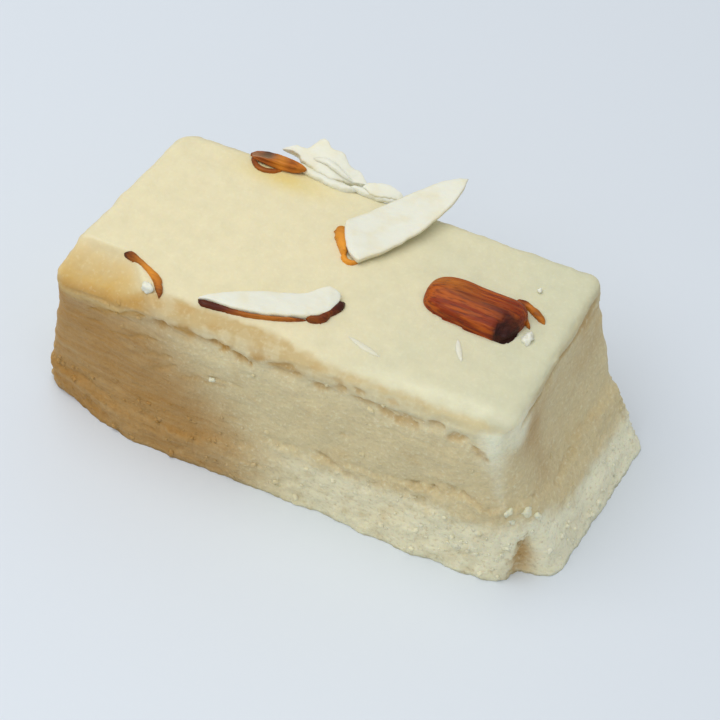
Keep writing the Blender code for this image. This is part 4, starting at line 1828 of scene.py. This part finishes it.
@dataclass
class Shred:
    """A narrow strip that lies along a path on the top; places and sizes are in millimetres."""

    name: str
    slot: Slot
    path: tuple[Pair, ...]
    widths: tuple[float, ...]
    height: float
    dark: tuple[float, ...] = (0.0, 0.0)
    amber_and_highlight: tuple[float, ...] = (0.0, 0.0)
    sunk: float = 0.3
    lift: tuple[float, ...] = (0.0, 0.0)
    bare: float = 0.0
    rings: tuple[int, int] = (20, 60)
    step: float = 0.01
    lump: float = 0.3
    lump_size: float = 1.1
    lump_turn: float = 0.3
    blunt: float = 2.5
    blunt_power: float = 0.6
    crest_power: float = 0.7
    seed: float = 51.0

    def along(self, share: float) -> Vector:
        """Return the place on the bar at a share of the way along the path."""
        return Vector([curve_value(values, share) for values in zip(*self.path)]) * MM

    def build(self, bar: FudgeBar, finishes: Finishes) -> bpy.types.Object:
        """Make it on the bar from a ball, whose poles are the strip's two tips.

        Args:
            bar: The bar that it lies on.
            finishes: The materials.

        Returns:
            The piece.
        """
        shape = Shape(SKIN_MASKS)
        for vert, angle, around, share in shape.add_ball(self.rings):
            place = self.along(share)
            line = (self.along(share + self.step) - self.along(share - self.step)).normalized()
            full = min(1.0, around * self.blunt) ** self.blunt_power
            spot = Vector((place.x, place.y, angle * self.lump_turn * MM))
            lumps = 1.0 + self.lump * crumbled(spot, self.lump_size * MM, self.seed, 3)
            half = 0.5 * curve_value(self.widths, share) * full * lumps
            place += Vector((-line.y, line.x)) * math.cos(angle) * half * MM
            level = bar.top_height(place) + curve_value(self.lift, share) * MM
            crest = signed_power(math.sin(angle), self.crest_power) * full
            height = self.height * crest if crest > 0.0 else self.sunk * crest
            vert.co = Vector((place.x, place.y, level + height * MM))
            shape.note(vert, {
                Mask.DARK_AND_SHADOW: max(0.0, curve_value(self.dark, share)),
                Mask.AMBER_AND_HIGHLIGHT: max(0.0, curve_value(self.amber_and_highlight, share)),
                Mask.BARE: self.bare,
            })
        shape.merge(THIN_TIP_GAP)
        return shape.finish(self.name, finishes, self.slot)


SHREDS = (
    Shred("skin_curl", Slot.SKIN,
          ((-33.0, -8.5), (-31.6, -8.8), (-29.6, -9.6), (-27.9, -10.6), (-26.8, -11.5), (-25.8, -13.0),
           (-25.4, -14.2)),
          (1.0, 0.85, 0.7, 1.05, 1.2, 0.95, 0.6), 0.6,
          (1.0, 0.4, 0.1, 0.0, 0.1, 0.3, 0.6), (0.0, 0.3, 0.6, 0.7, 0.55, 0.4, 0.2)),
    Shred("skin_peel", Slot.SKIN, ((20.0, 6.3), (21.3, 6.4), (22.5, 6.1), (23.9, 5.3), (25.3, 4.3)),
          (0.7, 1.2, 1.0, 1.2, 0.8), 0.8, (0.2, 0.4, 0.1, 0.3, 0.1), (0.3, 0.1, 0.5, 0.4, 0.6)),
    Shred("skin_fray", Slot.SKIN, ((20.8, 5.3), (21.8, 4.6), (22.7, 3.5), (23.7, 2.4)),
          (0.6, 1.0, 0.9, 0.5), 0.8, (0.4, 0.2, 0.1, 0.3), (0.1, 0.5, 0.5, 0.4)),
    Shred("half_moon_skin", Slot.SKIN,
          ((-20.4, -12.0), *(HALF_MOON.low_place(0.04 + 0.12 * step, 0.25) for step in range(7))),
          (0.7, 1.05, 1.1, 0.7, 0.55, 0.5, 0.5, 0.6), 0.62,
          (1.0, 0.9, 0.75, 0.3, 0.1, 0.1, 0.15, 0.5), (0.0, 0.0, 0.0, 0.3, 0.45, 0.4, 0.3, 0.0), 0.25),
    Shred("half_moon_hook", Slot.SKIN,
          ((-5.6, -8.9), (-4.6, -8.8), (-3.5, -8.1), (-2.8, -6.7), (-2.1, -5.2), (-1.5, -4.0)),
          (0.6, 1.0, 1.2, 1.2, 1.3, 0.9), 1.0,
          (0.3, 0.5, 0.5, 0.6, 0.9, 1.0), (0.2, 0.2, 0.1, 0.0, 0.0, 0.0)),
    Shred("flake_skin", Slot.SKIN, ((-7.0, 8.5), (-6.4, 7.2), (-5.7, 5.7), (-5.1, 4.6), (-4.5, 3.6)),
          (1.4, 1.7, 1.4, 1.1, 0.7), 1.3, (0.3, 0.15, 0.0, 0.0, 0.0), (0.6, 0.85, 0.95, 1.0, 1.0)),
    Shred("flake_skin_foot", Slot.SKIN, ((-5.0, 4.0), (-4.3, 3.2), (-3.4, 3.0), (-2.4, 3.4)),
          (0.6, 0.9, 0.8, 0.4), 0.6, amber_and_highlight=(1.0, 1.0, 0.9, 0.8)),
    Shred("chip_strand", Slot.SKIN,
          ((-23.2, 15.2), (-22.3, 14.3), (-21.2, 13.7), (-19.9, 13.8), (-18.3, 14.6)),
          (0.5, 0.75, 0.8, 0.75, 0.5), 0.5, (0.6, 0.4, 0.3, 0.3, 0.1), (0.1, 0.2, 0.3, 0.3, 0.3)),
    Shred("back_shred_near", Slot.FLESH,
          ((-17.0, 16.9), (-15.0, 16.2), (-12.0, 15.7), (-9.4, 15.5), (-7.2, 15.7)),
          (0.4, 1.2, 1.3, 1.2, 0.5), 0.8, seed=53.0),
    Shred("back_shred_mid", Slot.FLESH, ((-15.2, 17.6), (-12.8, 17.6), (-10.4, 16.9), (-8.0, 16.4)),
          (0.3, 1.0, 0.9, 0.3), 0.4, sunk=0.2, lift=(1.2, 1.9, 1.7, 0.8), seed=54.0),
    Shred("back_shred_far", Slot.FLESH,
          ((-8.6, 16.0), (-7.0, 16.1), (-4.8, 16.0), (-2.4, 16.2), (-0.4, 16.5)),
          (0.4, 1.0, 1.0, 1.0, 0.4), 0.7, seed=55.0),
    Shred("sliver_near", Slot.FLESH, ((1.0, -9.3), (3.6, -10.1), (6.2, -10.8)),
          (0.3, 0.9, 0.3), 0.13, bare=1.0),
    Shred("sliver_far", Slot.FLESH, ((15.0, -3.2), (15.8, -4.9), (16.8, -6.7)),
          (0.3, 0.9, 0.3), 0.15, bare=0.6),
)


@dataclass
class Crumbs:
    """Crumbs of one kind, joined: each is a lumpy ball, partly sunk in what it lies on."""

    squash: float = 0.35
    squash_size: float = 2.0 * MM
    lumps: float = 0.55
    lump_size: float = 0.9
    seed: float = 21.0

    def add(self, shape: Shape, middle: Vector, radius: float, detail: int, masks: dict[Mask, float]) -> None:
        """Add a crumb to a mesh.

        Args:
            shape: The mesh.
            middle: The crumb's middle.
            radius: Its radius.
            detail: How finely it is divided.
            masks: What is known about its surface.
        """
        made = bmesh.ops.create_icosphere(shape.mesh, subdivisions=detail, radius=radius)
        squash = Vector([1.0 + self.squash * rough(middle, self.squash_size, self.seed + 3.0 * axis)
                         for axis in range(3)])
        for vert in made["verts"]:
            vert.co *= squash
            lumps = crumbled(vert.co + middle, self.lump_size * radius, self.seed, 2)
            vert.co *= 1.0 + self.lumps * lumps
            vert.co += middle
            shape.note(vert, masks)


@dataclass
class WhiteCrumbs(Crumbs):
    """The three white crumbs on the top: where they lie, and their radius, in millimetres."""

    places: tuple[Triple, ...] = ((23.9, 0.8, 0.8), (22.7, 9.6, 0.45), (-27.4, -13.4, 0.75))
    raised: float = 0.25

    def build(self, bar: FudgeBar, finishes: Finishes) -> bpy.types.Object:
        """Make them on the bar.

        Args:
            bar: The bar.
            finishes: The materials.

        Returns:
            The piece.
        """
        shape = Shape((Mask.BARE,))
        for *pair, radius in self.places:
            place = place_of(pair)
            middle = Vector((place.x, place.y, bar.top_height(place) + self.raised * radius * MM))
            self.add(shape, middle, radius * MM, 3, {Mask.BARE: 0.0})
        return shape.finish("white_crumbs", finishes, Slot.FLESH)


@dataclass
class LooseCrumbs(Crumbs):
    """The crumbs of fudge that cling to the sides, most of them near the base.

    The pale ones are listed one by one: where they lie, and their radius, in millimetres.
    """

    count: int = 800
    radii: Pair = (0.16 * MM, 0.6 * MM)
    small: float = 2.5
    sunk: float = 0.5
    clear: float = 1.6
    heights: Pair = (0.6 * MM, 31.0 * MM)
    crowded: Pair = (15.0 * MM, 7.0 * MM)
    rarest: float = 0.05
    steepest: float = 0.6
    draw: int = 7
    pale: tuple[tuple[Triple, float], ...] = (
        ((29.4, -15.0, 15.0), 0.7), ((30.2, -14.6, 13.0), 0.6), ((33.0, -13.4, 14.6), 0.8),
        ((34.0, -12.0, 12.4), 0.6), ((-16.0, -16.0, 22.8), 0.45))
    pale_strength: float = 0.5

    def build(self, bar_piece: bpy.types.Object, finishes: Finishes) -> bpy.types.Object:
        """Make them on the bar's own points, so that each one touches it.

        Args:
            bar_piece: The finished bar.
            finishes: The materials.

        Returns:
            The piece.
        """
        shape = Shape(FUDGE_MASKS)
        said = {mask: bar_piece.data.attributes[mask.value].data for mask in FUDGE_MASKS}
        chance = random.Random(self.draw)
        points = bar_piece.data.vertices
        lowest, highest = self.heights
        made = 0
        while made < self.count:
            number = chance.randrange(len(points))
            vert = points[number]
            if vert.normal.z > self.steepest or not lowest <= vert.co.z <= highest:
                continue
            if chance.random() > mix(self.rarest, 1.0, ramp(*self.crowded, vert.co.z)):
                continue
            radius = mix(*self.radii, chance.random() ** self.small)
            middle = vert.co - vert.normal * self.sunk * radius
            middle.z = max(middle.z, self.clear * radius)
            self.add(shape, middle, radius, 2, {mask: said[mask][number].value for mask in FUDGE_MASKS})
            made += 1
        masks = {mask: self.pale_strength if mask is Mask.PALE_CRUMB_AND_HIGHLIGHT else 0.0 for mask in FUDGE_MASKS}
        for place, radius in self.pale:
            spot = Vector(place) * MM
            vert = min(points, key=lambda point: (point.co - spot).length_squared)
            self.add(shape, vert.co - vert.normal * self.sunk * radius * MM, radius * MM, 3, masks)
        return shape.finish("loose_crumbs", finishes, Slot.FUDGE)


@dataclass
class Studio:
    """The pale floor, the soft light from above, and the camera at the photograph's angle."""

    camera_place: Triple = (72.36 * MM, -302.88 * MM, 418.84 * MM)
    camera_aim: Triple = (0.85 * MM, 0.42 * MM, 17.0 * MM)
    camera_roll: float = 9.283
    lens: float = 176.8
    nearest: float = 0.01
    floor_half: float = 4.0
    floor_drop: float = 0.03 * MM
    floor_colour: Triple = (0.69, 0.75, 0.81)
    floor_paler: float = 1.02
    floor_cloud: float = 0.25
    floor_roughness: float = 0.6
    lamp_place: Triple = (-0.18, -0.15, 0.62)
    lamp_size: float = 0.55
    lamp_power: float = 2.9
    sky: Triple = (0.50, 0.50, 0.51)

    def build(self) -> None:
        """Make the studio."""
        self.build_floor()
        self.build_lamp()
        self.build_sky()
        self.build_camera()

    def build_floor(self) -> None:
        """Make the floor that the bar stands on."""
        mesh = bpy.data.meshes.new("floor")
        shape = bmesh.new()
        bmesh.ops.create_grid(shape, x_segments=1, y_segments=1, size=self.floor_half)
        shape.to_mesh(mesh)
        shape.free()
        nodes = Nodes("floor")
        paler = tuple(self.floor_paler * part for part in self.floor_colour)
        colour = nodes.blend(nodes.specks(self.floor_cloud, 1.0), self.floor_colour, paler)
        mesh.materials.append(nodes.finish({"Base Color": colour, "Roughness": self.floor_roughness}))
        floor = show("floor", mesh)
        floor.location.z = -self.floor_drop

    def build_lamp(self) -> None:
        """Hang a wide soft lamp over the bar."""
        lamp = bpy.data.lights.new("soft_lamp", "AREA")
        lamp.size = self.lamp_size
        lamp.energy = self.lamp_power
        hung = show("soft_lamp", lamp)
        hung.location = self.lamp_place
        hung.rotation_mode = "QUATERNION"
        hung.rotation_quaternion = (-Vector(self.lamp_place)).to_track_quat("-Z", "Y")

    def build_sky(self) -> None:
        """Light the room evenly and dimly."""
        world = bpy.data.worlds.new("room")
        world.use_nodes = True
        backdrop = world.node_tree.nodes["Background"]
        backdrop.inputs["Color"].default_value = (*self.sky, 1.0)
        backdrop.inputs["Strength"].default_value = 1.0
        bpy.context.scene.world = world

    def build_camera(self) -> None:
        """Set up the camera, and show colours as they are measured."""
        camera = bpy.data.cameras.new("camera")
        camera.lens = self.lens
        camera.clip_start = self.nearest
        place, aim = Vector(self.camera_place), Vector(self.camera_aim)
        turned = (aim - place).to_track_quat("-Z", "Y").to_matrix().to_4x4()
        roll = Matrix.Rotation(math.radians(self.camera_roll), 4, "Z")
        held = show("camera", camera)
        held.matrix_world = Matrix.Translation(place) @ turned @ roll
        bpy.context.scene.camera = held
        bpy.context.scene.view_settings.view_transform = "Standard"


def main() -> None:
    """Build every piece in order."""
    logging.basicConfig(level=logging.INFO, format="%(message)s")
    finishes = {
        Slot.FUDGE: FudgeFinish().make("fudge"),
        Slot.SKIN: SkinFinish().make("skin"),
        Slot.FLESH: FleshFinish().make("flesh"),
    }
    Studio().build()
    bar = FudgeBar()
    LooseCrumbs().build(bar.build(finishes), finishes)
    for piece in (AlmondKernel(), AlmondChip(), *SLICES, *SHREDS, WhiteCrumbs()):
        piece.build(bar, finishes)


if __name__ == "__main__":
    main()
